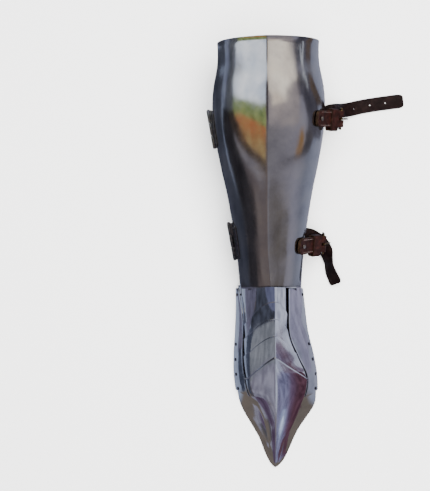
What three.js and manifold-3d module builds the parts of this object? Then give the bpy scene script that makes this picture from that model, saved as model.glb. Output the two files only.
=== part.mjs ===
// Greave with sabaton for a left leg: a hinged pair of shin and calf shells, closed by two buckled
// straps, and a pointed foot defence of overlapping lames between two side plates.
// It lies on its back as it would on a table: +Z up, +Y towards the knee, +X towards the buckle side.
// Units are millimetres. The origin is the middle of the underside of the whole object.
import * as THREE from "three";
import Module from "manifold-3d";

const wasm = await Module();
wasm.setup();

// Sheet metal and fits
const sheet = 1.2; // thickness of every plate
const gap = 0.35; // clearance between pieces that touch
const lameGap = 0.55; // clearance between foot plates that overlap
const sideGap = 1.1; // clearance under the long side plates
const seamGap = 0.8; // slit between the shin shell and the calf shell

// Greave
const greaveLength = 362; // along the leg, at the seam
const calfWidth = 166;
const ankleWidth = 93;
const calfFront = 79; // seam plane to shin ridge, at the calf
const ankleFront = 47;
const calfBack = 78; // seam plane to calf, at its fullest
const ankleBack = 42;
const ridgeShift = 6.5; // how far the shin ridge stands towards the hinge side
const rimFlare = 2.6; // how far the knee rim turns out
const rimBand = 10; // length of the turned rim
const rimDrop = 4; // how far the knee rim falls from the shin ridge to the seams
const archRise = 13; // notch over the instep in the shin shell's lower edge
const kneeDip = 16; // how far the calf shell's upper edge is cut down

// Sabaton
const footLength = 283;
const footWidth = 128;
const instepDrop = 3.5; // step down from the shin ridge to the instep ridge
const ankleGap = 1.6; // between the greave's lower edge and the instep plate
const ridgeOffset = 3.1; // how far the instep ridge stands towards the buckle side
const footTurn = 1.4; // degrees that the foot points towards the buckle side
const legTurn = 1.05; // degrees that the leg leans towards the hinge side
const lameOverlap = 12; // how far each lame runs under the next one
const tipHeight = 5;

// Hinges
const hingeLength = 56;
const barrelRadius = 2.7;
const barrelStandoff = { upper: 3.7, lower: 5.4 }; // axis to the shell's outer face
const pinRadius = 1.2;
const leafWidth = 13;
const leafSheet = 1.2;
const leafInset = 1.5; // leaf's end to the barrel's end
const knuckleGap = 0.4;
const upperHingeAt = 0.647; // shares of the greave's length, from the ankle
const lowerHingeAt = 0.185;

// Straps and buckles
const chapeWidth = 24;
const chapeThick = 4.6; // two layers of leather sewn together
const chapeReach = 47; // rivet to buckle bar
const chapeTail = 10; // rivet to the rounded end
const chapeBend = 20; // degrees that the chape lifts away from the shell
const strapWidth = 19.5;
const strapThick = 2.6;
const strapHole = 1.6; // radius of the prong holes
const leatherLift = 0.8; // clearance between leather and the shell at a rivet
const barRadius = 1.5;
const buckleLength = 19;
const buckleWire = 3;
const prongRadius = 1.1;
const keeperWidth = 12;
const keeperThick = 2.2;
const ankleLeatherThick = 2;

// Rivets: radius of the head, height of the head and radius of the shank
const sideRivet = { head: 3.1, rise: 1.9, shank: 1.5 };
const leafRivet = { head: 2.5, rise: 1.3, shank: 1.2 };
const strapRivet = { head: 3.3, rise: 2.0, shank: 1.5 };
const rivetSides = 6;

// Sections of the greave from the ankle to the knee. at is the share of its length. side, front and
// back go from 0, the ankle size, to 1, the calf size. keel is the share of a straight-sided ridge
// in the front's round section, and ridge the share of the ridge's shift.
const greaveSections = [
  { at: 0.0, side: 0.0, front: 0.09, back: 0.14, keel: 0.34, ridge: 0.45 },
  { at: 0.07, side: 0.05, front: 0.02, back: 0.03, keel: 0.34, ridge: 0.7 },
  { at: 0.15, side: 0.115, front: 0.0, back: 0.0, keel: 0.34, ridge: 0.95 },
  { at: 0.24, side: 0.23, front: 0.09, back: 0.08, keel: 0.34, ridge: 1.0 },
  { at: 0.32, side: 0.36, front: 0.24, back: 0.22, keel: 0.33, ridge: 1.0 },
  { at: 0.4, side: 0.5, front: 0.41, back: 0.39, keel: 0.31, ridge: 1.0 },
  { at: 0.48, side: 0.68, front: 0.61, back: 0.6, keel: 0.28, ridge: 1.0 },
  { at: 0.56, side: 0.83, front: 0.79, back: 0.8, keel: 0.25, ridge: 1.0 },
  { at: 0.64, side: 0.945, front: 0.92, back: 0.94, keel: 0.22, ridge: 1.0 },
  { at: 0.7, side: 1.0, front: 1.0, back: 1.0, keel: 0.2, ridge: 1.0 },
  { at: 0.77, side: 0.995, front: 1.01, back: 0.99, keel: 0.2, ridge: 1.0 },
  { at: 0.83, side: 0.925, front: 0.96, back: 0.9, keel: 0.21, ridge: 0.97 },
  { at: 0.89, side: 0.785, front: 0.86, back: 0.77, keel: 0.23, ridge: 0.93 },
  { at: 0.94, side: 0.75, front: 0.8, back: 0.66, keel: 0.25, ridge: 0.9 },
  { at: 1.0, side: 0.765, front: 0.78, back: 0.58, keel: 0.26, ridge: 0.85 },
];

// Sections of the sabaton from the ankle to the toe. at is the share of its length. The next four
// are shares of the foot's width, out from the ridge: the sole edge and the crease, on the inner
// (hinge) side and the outer (buckle) side. creaseUp and ridgeUp are shares of the instep's height.
const footSections = [
  { at: 0, soleIn: 0.398, soleOut: 0.358, creaseIn: 0.258, creaseOut: 0.168, creaseUp: 0.8, ridgeUp: 1 },
  { at: 0.12, soleIn: 0.403, soleOut: 0.381, creaseIn: 0.265, creaseOut: 0.168, creaseUp: 0.72, ridgeUp: 0.925 },
  { at: 0.25, soleIn: 0.42, soleOut: 0.412, creaseIn: 0.275, creaseOut: 0.178, creaseUp: 0.605, ridgeUp: 0.815 },
  { at: 0.38, soleIn: 0.444, soleOut: 0.475, creaseIn: 0.297, creaseOut: 0.27, creaseUp: 0.48, ridgeUp: 0.7 },
  { at: 0.485, soleIn: 0.449, soleOut: 0.508, creaseIn: 0.306, creaseOut: 0.375, creaseUp: 0.385, ridgeUp: 0.6 },
  { at: 0.58, soleIn: 0.43, soleOut: 0.513, creaseIn: 0.292, creaseOut: 0.361, creaseUp: 0.315, ridgeUp: 0.505 },
  { at: 0.65, soleIn: 0.405, soleOut: 0.5, creaseIn: 0.207, creaseOut: 0.302, creaseUp: 0.27, ridgeUp: 0.44 },
  { at: 0.72, soleIn: 0.335, soleOut: 0.405, creaseIn: 0.14, creaseOut: 0.241, creaseUp: 0.23, ridgeUp: 0.375 },
  { at: 0.78, soleIn: 0.258, soleOut: 0.31, creaseIn: 0.107, creaseOut: 0.184, creaseUp: 0.195, ridgeUp: 0.32 },
  { at: 0.84, soleIn: 0.186, soleOut: 0.238, creaseIn: 0.088, creaseOut: 0.124, creaseUp: 0.16, ridgeUp: 0.265 },
  { at: 0.9, soleIn: 0.139, soleOut: 0.177, creaseIn: 0.066, creaseOut: 0.078, creaseUp: 0.125, ridgeUp: 0.205 },
  { at: 0.95, soleIn: 0.094, soleOut: 0.122, creaseIn: 0.043, creaseOut: 0.048, creaseUp: 0.095, ridgeUp: 0.15 },
  { at: 0.985, soleIn: 0.055, soleOut: 0.07, creaseIn: 0.024, creaseOut: 0.027, creaseUp: 0.07, ridgeUp: 0.1 },
];

// The rear edge of each foot plate, as shares of the foot's length at the ridge, crease and sole.
// arch bows the edge between ridge and crease: 1 is straight, and 2 stays near the ridge's line longer.
const footPlates = [
  { name: "instep_plate", ridge: 0, crease: 0, sole: 0.04, arch: 1 },
  { name: "lame_1", ridge: 0.073, crease: 0.163, sole: 0.305, arch: 1.9 },
  { name: "lame_2", ridge: 0.165, crease: 0.246, sole: 0.382, arch: 1.8 },
  { name: "lame_3", ridge: 0.256, crease: 0.352, sole: 0.462, arch: 1.6 },
  { name: "toe_cap", ridge: 0.369, crease: 0.492, sole: 0.54, arch: 1.15 },
];

// The side plates' upper edges: around is 0 at the ridge, 1 at the crease and 2 at the sole.
const innerPlateEdge = [
  { at: 0, around: 1.9 },
  { at: 0.045, around: 1.78 },
  { at: 0.085, around: 1.55 },
  { at: 0.13, around: 1.44 },
  { at: 0.22, around: 1.38 },
  { at: 0.36, around: 1.35 },
  { at: 0.48, around: 1.24 },
  { at: 0.56, around: 1.12 },
  { at: 0.63, around: 1.1 },
];
const outerPlateEdge = [
  { at: 0, around: 1.06 },
  { at: 0.5, around: 1.06 },
  { at: 0.63, around: 1.06 },
];

// Rivets along each side plate: share of the foot's length, and the place between crease and sole.
const sideRivets = [
  { at: 0.05, around: 1.85 },
  { at: 0.322, around: 1.82 },
  { at: 0.405, around: 1.8 },
  { at: 0.485, around: 1.77 },
  { at: 0.561, around: 1.72 },
];

// Routes of the two loose strap ends, from the rivet on the calf shell. out is away from the shell's
// edge, along is towards the knee and up is above the floor, in millimetres. turn swings the strap's
// width from along the leg to across it, and lean tips it up, in degrees.
const upperStrapRoute = [
  { out: 4, along: 8.5, up: 58, turn: -12, lean: 0 },
  { out: 11, along: 10, up: 58, turn: -12, lean: 0 },
  { out: 18, along: 12, up: 49, turn: -12, lean: 0 },
  { out: 24, along: 14, up: 35, turn: -12, lean: 0 },
  { out: 31, along: 16, up: 19, turn: -12, lean: 0 },
  { out: 41, along: 18.5, up: 7.5, turn: -11, lean: 0 },
  { out: 55, along: 21.5, up: 2.4, turn: -11, lean: 0 },
  { out: 77, along: 25, up: 1.45, turn: -9, lean: 0 },
  { out: 102, along: 28, up: 1.45, turn: -7, lean: 0 },
  { out: 127, along: 30.5, up: 1.45, turn: -6, lean: 0 },
];
const lowerStrapRoute = [
  { out: 4, along: -1, up: 31, turn: 0, lean: 0 },
  { out: 11, along: -3, up: 30, turn: 4, lean: 0 },
  { out: 19, along: -7, up: 24.5, turn: 12, lean: 0 },
  { out: 26, along: -12, up: 17, turn: 24, lean: 0 },
  { out: 31, along: -18, up: 11.8, turn: 38, lean: 6 },
  { out: 35, along: -26, up: 11.2, turn: 58, lean: 26 },
  { out: 37.5, along: -36, up: 11.6, turn: 76, lean: 54 },
  { out: 39.5, along: -46, up: 11.6, turn: 82, lean: 66 },
  { out: 43.5, along: -60, up: 9.6, turn: 78, lean: 50 },
  { out: 48, along: -70, up: 8.6, turn: 76, lean: 44 },
  { out: 51, along: -77, up: 8.4, turn: 75, lean: 42 },
];
const strapHoles = [0.5, 0.655, 0.81]; // shares of the upper strap's length
const upperChapeAt = 0.682; // shares of the greave's length
const lowerChapeAt = 0.165;
const upperStrapAt = 0.682;
const lowerStrapAt = 0.2;

const steel = new THREE.MeshStandardMaterial({ color: 0x9a9ca3, roughness: 0.28, metalness: 1 });
const mirrorSteel = new THREE.MeshStandardMaterial({ color: 0xb4b6bd, roughness: 0.14, metalness: 1 });
const hingeSteel = new THREE.MeshStandardMaterial({ color: 0x6d6c70, roughness: 0.4, metalness: 1 });
const rivetSteel = new THREE.MeshStandardMaterial({ color: 0x7c7d84, roughness: 0.3, metalness: 1 });
const brass = new THREE.MeshStandardMaterial({ color: 0x8a7146, roughness: 0.4, metalness: 1 });
const chapeLeather = new THREE.MeshStandardMaterial({ color: 0x4a2521, roughness: 0.55, metalness: 0 });
const strapLeather = new THREE.MeshStandardMaterial({ color: 0x2f1a1b, roughness: 0.6, metalness: 0 });

const quarter = Math.PI / 2;
const radians = THREE.MathUtils.degToRad;
const mix = THREE.MathUtils.lerp;

// The value of one column of a table at a place, on a smooth curve through its rows.
function along(rows, column, at) {
  const last = rows.length - 1;
  const place = Math.min(Math.max(at, rows[0].at), rows[last].at);
  let i = 0;
  while (i < last - 1 && rows[i + 1].at < place) i++;
  const slope = (j) => {
    const before = rows[Math.max(j - 1, 0)];
    const after = rows[Math.min(j + 1, last)];
    return (after[column] - before[column]) / (after.at - before.at);
  };
  const span = rows[i + 1].at - rows[i].at;
  const t = (place - rows[i].at) / span;
  const straight = rows[i + 1][column] - rows[i][column];
  const bend = (1 - t) * (slope(i) * span - straight) - t * (slope(i + 1) * span - straight);
  return rows[i][column] + t * straight + t * (1 - t) * bend;
}

// Moves each point of a flat line sideways by a distance, with mitred corners.
function offsetLine(points, distance) {
  return points.map((p, i) => {
    const before = points[Math.max(i - 1, 0)];
    const after = points[Math.min(i + 1, points.length - 1)];
    const a = i > 0 ? p.clone().sub(before).normalize() : after.clone().sub(p).normalize();
    const b = i < points.length - 1 ? after.clone().sub(p).normalize() : a;
    const normalA = new THREE.Vector2(-a.y, a.x);
    const normalB = new THREE.Vector2(-b.y, b.x);
    const middle = normalA.add(normalB).normalize();
    return p.clone().addScaledVector(middle, distance / Math.max(middle.dot(normalB), 0.5));
  });
}

// A geometry from points and triangles, facing out, with shared corners merged.
function geometryFrom(points, triangles) {
  const seen = new Map();
  const corners = [];
  const number = points.map((p) => {
    const key = [p.x, p.y, p.z].map((v) => Math.round(v * 2000)).join();
    if (!seen.has(key)) {
      seen.set(key, corners.length);
      corners.push(p);
    }
    return seen.get(key);
  });
  const faces = triangles
    .map((t) => t.map((i) => number[i]))
    .filter(([a, b, c]) => a !== b && b !== c && c !== a);
  const volume = faces.reduce(
    (sum, [a, b, c]) => sum + corners[a].dot(corners[b].clone().cross(corners[c])),
    0,
  );
  const geometry = new THREE.BufferGeometry().setFromPoints(corners);
  geometry.setIndex(faces.flatMap(([a, b, c]) => (volume < 0 ? [a, c, b] : [a, b, c])));
  return geometry;
}

// A closed sheet between a grid of outer points and a grid of inner points.
function sheetBetween(outer, inner) {
  const rows = outer.length;
  const columns = outer[0].length;
  const points = [...outer.flat(), ...inner.flat()];
  const out = (r, c) => r * columns + c;
  const into = (r, c) => rows * columns + out(r, c);
  const triangles = [];
  const quad = (a, b, c, d) => triangles.push([a, b, c], [a, c, d]);
  for (let r = 0; r < rows - 1; r++) {
    for (let c = 0; c < columns - 1; c++) {
      quad(out(r, c), out(r, c + 1), out(r + 1, c + 1), out(r + 1, c));
      quad(into(r, c), into(r + 1, c), into(r + 1, c + 1), into(r, c + 1));
    }
    quad(out(r, 0), out(r + 1, 0), into(r + 1, 0), into(r, 0));
    quad(out(r + 1, columns - 1), out(r, columns - 1), into(r, columns - 1), into(r + 1, columns - 1));
  }
  for (let c = 0; c < columns - 1; c++) {
    quad(out(0, c + 1), out(0, c), into(0, c), into(0, c + 1));
    quad(out(rows - 1, c), out(rows - 1, c + 1), into(rows - 1, c + 1), into(rows - 1, c));
  }
  return geometryFrom(points, triangles);
}

// A geometry as a solid that can be joined and cut, and back again.
function solidOf(geometry) {
  const flat = geometry.index ? geometry.toNonIndexed() : geometry;
  const position = flat.getAttribute("position");
  const points = [];
  for (let i = 0; i < position.count; i++) {
    points.push(new THREE.Vector3().fromBufferAttribute(position, i));
  }
  const triangles = [];
  for (let i = 0; i < position.count; i += 3) triangles.push([i, i + 1, i + 2]);
  const merged = geometryFrom(points, triangles);
  return new wasm.Manifold(
    new wasm.Mesh({
      numProp: 3,
      vertProperties: new Float32Array(merged.getAttribute("position").array),
      triVerts: new Uint32Array(merged.index.array),
    }),
  );
}

function geometryOf(solid) {
  const mesh = solid.getMesh();
  const geometry = new THREE.BufferGeometry();
  geometry.setAttribute("position", new THREE.BufferAttribute(mesh.vertProperties, 3));
  geometry.setIndex(new THREE.BufferAttribute(mesh.triVerts, 1));
  return geometry;
}

// The place and turn of a frame whose local X and Z are given in the parent's directions.
function frameAt(origin, x, z) {
  return new THREE.Matrix4().makeBasis(x, z.clone().cross(x), z).setPosition(origin);
}

const vector = (x, y, z) => new THREE.Vector3(x, y, z);

// A solid turned about local Z and placed in a frame, from radii and heights down one side.
function turned(profile, frame, sides) {
  const points = profile.map(([radius, height]) => new THREE.Vector2(radius, height));
  const geometry = new THREE.LatheGeometry(points, sides).rotateX(quarter);
  return geometry.applyMatrix4(frame);
}

const rod = (radius, from, to, frame, sides = 8) =>
  turned([[0, from], [radius, from], [radius, to], [0, to]], frame, sides);

// A domed rivet along local Z. Its grip runs from the lower face to the upper face of what it holds.
function rivet(size, lower, upper, frame) {
  const { head, rise, shank } = size;
  const seat = upper + gap;
  const foot = lower - gap;
  const profile = [
    [0, foot - rise * 0.5],
    [head * 0.8, foot - rise * 0.5],
    [head * 0.8, foot],
    [shank, foot],
    [shank, seat],
    [head, seat],
    [head * 0.78, seat + rise * 0.65],
    [0, seat + rise],
  ];
  return turned(profile, frame, rivetSides);
}

// Adds a rivet through pieces that lie on each other, and returns the pieces with its hole.
function riveted(parent, name, size, frame, pieces, material = rivetSteel) {
  const reach = 7;
  const inverse = frame.clone().invert();
  const core = solidOf(rod(size.head, -reach, reach, frame));
  const grip = new THREE.Box3();
  for (const piece of pieces) {
    const touched = geometryOf(piece.intersect(core)).applyMatrix4(inverse);
    grip.union(new THREE.Box3().setFromBufferAttribute(touched.getAttribute("position")));
  }
  addMesh(parent, name, rivet(size, grip.min.z, grip.max.z, frame), material);
  const hole = solidOf(rod(size.shank + gap, -reach, reach, frame));
  return pieces.map((piece) => piece.subtract(hole));
}

const model = new THREE.Group();
model.name = "greave";

function addMesh(parent, name, geometry, material) {
  const mesh = new THREE.Mesh(geometry, material);
  mesh.name = name;
  parent.add(mesh);
  return mesh;
}

// Greave: its own frame has Y along the leg from the ankle, and the seam in the plane Z = 0.

function greaveSize(y) {
  const at = Math.min(Math.max(y / greaveLength, 0), 1);
  const grow = (column, small, large) => mix(small, large, along(greaveSections, column, at));
  const turn = Math.max(0, 1 - (greaveLength - y) / rimBand);
  const flare = rimFlare * turn * turn;
  return {
    half: grow("side", ankleWidth, calfWidth) / 2 + flare * 0.35,
    front: grow("front", ankleFront, calfFront) + flare,
    back: grow("back", ankleBack, calfBack) + flare * 0.35,
    keel: along(greaveSections, "keel", at),
    ridge: -ridgeShift * along(greaveSections, "ridge", at),
  };
}

// Points of the shin shell's section. An angle of -90 is the hinge seam, 0 the ridge and 90 the other seam.
function shinPoint(size, angle) {
  const side = Math.sign(angle);
  const reach = size.half - side * size.ridge;
  const turn = Math.abs(radians(angle));
  const height = (1 - size.keel) * Math.cos(turn) + size.keel * (1 - Math.sin(turn));
  return new THREE.Vector2(size.ridge + side * reach * Math.sin(turn), size.front * height + seamGap / 2);
}

// Points of the calf shell's section, from the hinge seam at -90 to the other seam at 90.
function calfPoint(size, angle) {
  const turn = radians(angle);
  return new THREE.Vector2(size.half * Math.sin(turn), -size.back * Math.cos(turn) - seamGap / 2);
}

// A point of either shell with its outward normal and its directions round and along the leg.
function shellFrame(sectionPoint, y, angle, facing) {
  const step = 0.5;
  const at = (yy, a) => {
    const p = sectionPoint(greaveSize(yy), a);
    return vector(p.x, yy, p.y);
  };
  const point = at(y, angle);
  const round = at(y, angle + step).sub(at(y, angle - step)).normalize();
  const up = at(y + step, angle).sub(at(y - step, angle)).normalize();
  const normal = round.clone().cross(up).multiplyScalar(facing).normalize();
  return { point, round, up, normal };
}

const shinAt = (y, angle) => shellFrame(shinPoint, y, angle, 1);
const calfAt = (y, angle) => shellFrame(calfPoint, y, angle, -1);

// A shell of the greave between a lower and an upper edge that change round the leg.
function greaveShell(sectionPoint, angles, rows, lowerEdge, upperEdge, thickness) {
  const grid = (distance) =>
    rows.map((share) =>
      angles.map((angle, column) => {
        const y = mix(lowerEdge(angle), upperEdge(angle), share);
        const size = greaveSize(y);
        const line = offsetLine(angles.map((a) => sectionPoint(size, a)), distance);
        return vector(line[column].x, y, line[column].y);
      }),
    );
  return sheetBetween(grid(0), grid(thickness));
}

const evenly = (from, to, count) =>
  Array.from({ length: count + 1 }, (_, i) => mix(from, to, i / count));

const shinAngles = evenly(-90, 90, 14);
const calfAngles = evenly(-90, 90, 12);
const rimShare = 1 - rimBand / greaveLength;
const shellRows = [...evenly(0, 0.9, 10), rimShare - 0.012, rimShare, mix(rimShare, 1, 0.5), 1];

function shinLowerEdge(angle) {
  const turn = Math.abs(angle) / 90;
  return archRise * (0.55 * Math.cos(turn * quarter) ** 2 + 0.45 * (1 - Math.min(turn * 3, 1)) ** 1.6);
}

const shinUpperEdge = (angle) => greaveLength - rimDrop * (Math.abs(angle) / 90) ** 3;
const calfUpperEdge = (angle) => shinUpperEdge(90) - kneeDip * Math.cos(radians(angle)) ** 2;

const shinSolid = greaveShell(shinPoint, shinAngles, shellRows, shinLowerEdge, shinUpperEdge, -sheet);
const calfSolid = greaveShell(calfPoint, calfAngles, shellRows, () => 0, calfUpperEdge, sheet);

// The calf shell lies on its lower rim and its fullest part: their common tangent sets the tilt.
const spine = shellRows.map((share) => {
  const y = mix(0, calfUpperEdge(0), share);
  return new THREE.Vector2(y, -calfPoint(greaveSize(y), 0).y);
});
const tilt = Math.atan(Math.max(...spine.slice(1).map((p) => (p.y - spine[0].y) / (p.x - spine[0].x))));
const rest = Math.max(...spine.map((p) => p.y * Math.cos(tilt) - p.x * Math.sin(tilt)));

const leg = new THREE.Group();
leg.rotation.set(tilt, 0, radians(legTurn), "ZXY");
leg.position.z = rest;
leg.updateMatrixWorld(true);
model.add(leg);
const legInverse = leg.matrixWorld.clone().invert();

let shin = solidOf(shinSolid);
let calf = solidOf(calfSolid);

// Hinges: one straight axis through both barrels, in the plane of the seam.

const seamX = (y) => -greaveSize(y).half;
const hingeCentre = (share, standoff) =>
  vector(seamX(share * greaveLength) - standoff, share * greaveLength, 0);
const upperHinge = hingeCentre(upperHingeAt, barrelStandoff.upper);
const lowerHinge = hingeCentre(lowerHingeAt, barrelStandoff.lower);
const axis = upperHinge.clone().sub(lowerHinge).normalize();
const axisSide = vector(axis.y, -axis.x, 0);
const knuckle = (hingeLength - 2 * knuckleGap) / 3;

// A place on a shell, by its distance round from the hinge seam.
function leafPoint(side, y, distance) {
  const size = greaveSize(y);
  const radius = side === "shin" ? size.front * (1 - size.keel) : size.back;
  return (side === "shin" ? shinAt : calfAt)(y, -90 + THREE.MathUtils.radToDeg(distance / radius));
}

// One leaf: a strip that follows the shell and thickens into the barrel, with its knuckles.
function hingeLeaf(centre, side, own, other) {
  const across = [0.25, 3, leafWidth * 0.55, leafWidth];
  const standoff = centre === upperHinge ? barrelStandoff.upper : barrelStandoff.lower;
  const outerLift = [standoff, gap + leafSheet * 1.8, gap + leafSheet, gap + leafSheet];
  const end = hingeLength / 2 - leafInset;
  const stations = evenly(-end, end, 2).map((d) => centre.y + d * axis.y);
  const grid = (lifts) =>
    stations.map((y) =>
      across.map((distance, i) => {
        const at = leafPoint(side, y, distance);
        return at.point.clone().addScaledVector(at.normal, lifts[i]);
      }),
    );
  let leaf = solidOf(sheetBetween(grid(outerLift), grid(across.map(() => gap))));
  const barrel = frameAt(centre, axisSide, axis);
  for (const [from, to] of other) {
    const clear = rod(barrelRadius + knuckleGap, from - knuckleGap, to + knuckleGap, barrel, 8);
    leaf = leaf.subtract(solidOf(clear));
  }
  for (const [from, to] of own) leaf = leaf.add(solidOf(rod(barrelRadius, from, to, barrel, 8)));
  return leaf.subtract(solidOf(rod(pinRadius + gap, -hingeLength, hingeLength, barrel, 8)));
}

function hinge(name, centre) {
  const half = hingeLength / 2;
  const ends = [
    [-half, -half + knuckle],
    [half - knuckle, half],
  ];
  const middle = [[-knuckle / 2, knuckle / 2]];
  const leaves = {
    shin: hingeLeaf(centre, "shin", ends, middle),
    calf: hingeLeaf(centre, "calf", middle, ends),
  };
  for (const [place, end] of [["upper", 1], ["lower", -1]]) {
    const y = centre.y + end * (half - knuckle * 0.4);
    const frameOn = (side) => {
      const at = leafPoint(side, y, leafWidth * 0.64);
      return frameAt(at.point, at.round, at.normal);
    };
    const rivetName = (side) => `${name}_hinge_${side}_rivet_${place}`;
    [leaves.shin, shin] = riveted(leg, rivetName("shin"), leafRivet, frameOn("shin"), [leaves.shin, shin]);
    [leaves.calf, calf] = riveted(leg, rivetName("calf"), leafRivet, frameOn("calf"), [leaves.calf, calf]);
  }
  addMesh(leg, `${name}_hinge_shin_leaf`, geometryOf(leaves.shin), hingeSteel);
  addMesh(leg, `${name}_hinge_calf_leaf`, geometryOf(leaves.calf), hingeSteel);
  const barrel = frameAt(centre, axisSide, axis);
  const headRise = 1;
  const pin = turned(
    [
      [0, -half - gap - headRise],
      [pinRadius + 0.8, -half - gap - headRise],
      [pinRadius + 0.8, -half - gap],
      [pinRadius, -half - gap],
      [pinRadius, half + gap],
      [pinRadius + 0.8, half + gap],
      [pinRadius + 0.8, half + gap + headRise],
      [0, half + gap + headRise],
    ],
    barrel,
    rivetSides,
  );
  addMesh(leg, `${name}_hinge_pin`, pin, hingeSteel);
}

hinge("upper", upperHinge);
hinge("lower", lowerHinge);

// Chapes: doubled leather on the shin shell. Local X runs out along the strap, Y along the leg and
// Z away from the shell. The strap lifts off the shell on a wide arc and ends in an eye for the bar.

const eyeRadius = barRadius + gap + 2.2;
const bendRadius = chapeReach / radians(chapeBend);
const chapeMiddle = leatherLift + chapeThick / 2;

function chapePath(distance) {
  const turn = Math.max(distance, 0) / bendRadius;
  const x = distance < 0 ? distance : bendRadius * Math.sin(turn);
  return { x, z: chapeMiddle + bendRadius * (1 - Math.cos(turn)), turn };
}

function chapeShape(frame) {
  const steps = [-chapeTail, 0, chapeReach * 0.3, chapeReach * 0.55, chapeReach * 0.78];
  const eye = chapePath(chapeReach);
  const neck = chapeReach - Math.sqrt(eyeRadius ** 2 - (chapeThick / 2) ** 2);
  const edge = (side) =>
    [...steps, neck].map((distance) => {
      const p = chapePath(distance);
      const lift = (side * chapeThick) / 2;
      return new THREE.Vector2(p.x - lift * Math.sin(p.turn), p.z + lift * Math.cos(p.turn));
    });
  const start = Math.asin(chapeThick / 2 / eyeRadius);
  const bow = evenly(start - Math.PI, Math.PI - start, 8)
    .slice(1, -1)
    .map((a) => new THREE.Vector2(eye.x, eye.z).add(
      new THREE.Vector2(eyeRadius * Math.cos(a + eye.turn), eyeRadius * Math.sin(a + eye.turn)),
    ));
  const side = new THREE.Shape([...edge(-1), ...bow, ...edge(1).reverse()]);
  const slab = new THREE.ExtrudeGeometry(side, { depth: chapeWidth, bevelEnabled: false })
    .rotateX(quarter)
    .translate(0, chapeWidth / 2, 0);
  const round = chapeWidth * 0.34;
  const plan = new THREE.Shape()
    .moveTo(eye.x + 20, -chapeWidth / 2)
    .lineTo(eye.x + 20, chapeWidth / 2)
    .lineTo(-chapeTail + round, chapeWidth / 2)
    .quadraticCurveTo(-chapeTail, chapeWidth / 2, -chapeTail, chapeWidth / 2 - round)
    .lineTo(-chapeTail, -chapeWidth / 2 + round)
    .quadraticCurveTo(-chapeTail, -chapeWidth / 2, -chapeTail + round, -chapeWidth / 2)
    .closePath();
  const outline = new THREE.ExtrudeGeometry(plan, { depth: 100, bevelEnabled: false, curveSegments: 4 })
    .translate(0, 0, -50);
  const bar = frameAt(vector(eye.x, 0, eye.z), vector(1, 0, 0), vector(0, 1, 0));
  const slotHalf = prongRadius * 1.35 + 0.5;
  const slot = new THREE.BoxGeometry(eyeRadius * 2 + 8, slotHalf * 2, eyeRadius * 3)
    .translate(eye.x + 1.5, 0, eye.z);
  const solid = solidOf(slab)
    .intersect(solidOf(outline))
    .subtract(solidOf(rod(barRadius + gap, -50, 50, bar)))
    .subtract(solidOf(slot));
  return { solid: solidOf(geometryOf(solid).applyMatrix4(frame)), eye };
}

// A leather keeper: a loop round the chape that hangs on it, with room for the strap under it.
function keeperShape(frame) {
  const at = chapePath(chapeReach * 0.69);
  const slack = 4;
  const high = chapeThick + strapThick + 3 * gap;
  const wide = chapeWidth + slack;
  const box = (w, h, grow, radius) => {
    const x = w / 2 + grow;
    const y = h / 2 + grow;
    return new THREE.Shape()
      .moveTo(-x + radius, -y)
      .lineTo(x - radius, -y)
      .quadraticCurveTo(x, -y, x, -y + radius)
      .lineTo(x, y - radius)
      .quadraticCurveTo(x, y, x - radius, y)
      .lineTo(-x + radius, y)
      .quadraticCurveTo(-x, y, -x, y - radius)
      .lineTo(-x, -y + radius)
      .quadraticCurveTo(-x, -y, -x + radius, -y);
  };
  const ring = box(wide, high, keeperThick, 3);
  ring.holes.push(box(wide, high, 0, 1));
  const geometry = new THREE.ExtrudeGeometry(ring, {
    depth: keeperWidth,
    bevelEnabled: false,
    curveSegments: 3,
  });
  const drop = high / 2 - chapeThick / 2 - gap;
  const strapFrame = frameAt(
    vector(at.x, 0, at.z),
    vector(0, 1, 0),
    vector(Math.cos(at.turn), 0, Math.sin(at.turn)),
  );
  return geometry
    .translate(gap - slack / 2, -drop, -keeperWidth / 2)
    .applyMatrix4(strapFrame)
    .applyMatrix4(frame);
}

// A buckle frame: a round bar along local Y at the origin, and a flat hoop that runs out along X.
function buckleShape() {
  const inside = chapeWidth / 2 + 1;
  const outside = inside + buckleWire;
  const far = buckleLength;
  const corner = 4;
  const hoop = new THREE.Shape()
    .moveTo(-buckleWire * 0.6, -outside)
    .lineTo(far - corner, -outside)
    .quadraticCurveTo(far, -outside, far, -outside + corner)
    .lineTo(far, outside - corner)
    .quadraticCurveTo(far, outside, far - corner, outside)
    .lineTo(-buckleWire * 0.6, outside)
    .lineTo(-buckleWire * 0.6, inside)
    .lineTo(far - buckleWire - 1, inside)
    .quadraticCurveTo(far - buckleWire, inside, far - buckleWire, inside - 1)
    .lineTo(far - buckleWire, -inside + 1)
    .quadraticCurveTo(far - buckleWire, -inside, far - buckleWire - 1, -inside)
    .lineTo(-buckleWire * 0.6, -inside)
    .closePath();
  const flat = new THREE.ExtrudeGeometry(hoop, {
    depth: buckleWire,
    bevelEnabled: false,
    curveSegments: 3,
  }).translate(0, 0, -buckleWire / 2);
  const bar = frameAt(vector(0, 0, 0), vector(1, 0, 0), vector(0, 1, 0));
  return geometryOf(solidOf(flat).add(solidOf(rod(barRadius, -inside - 1, inside + 1, bar))));
}

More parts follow.
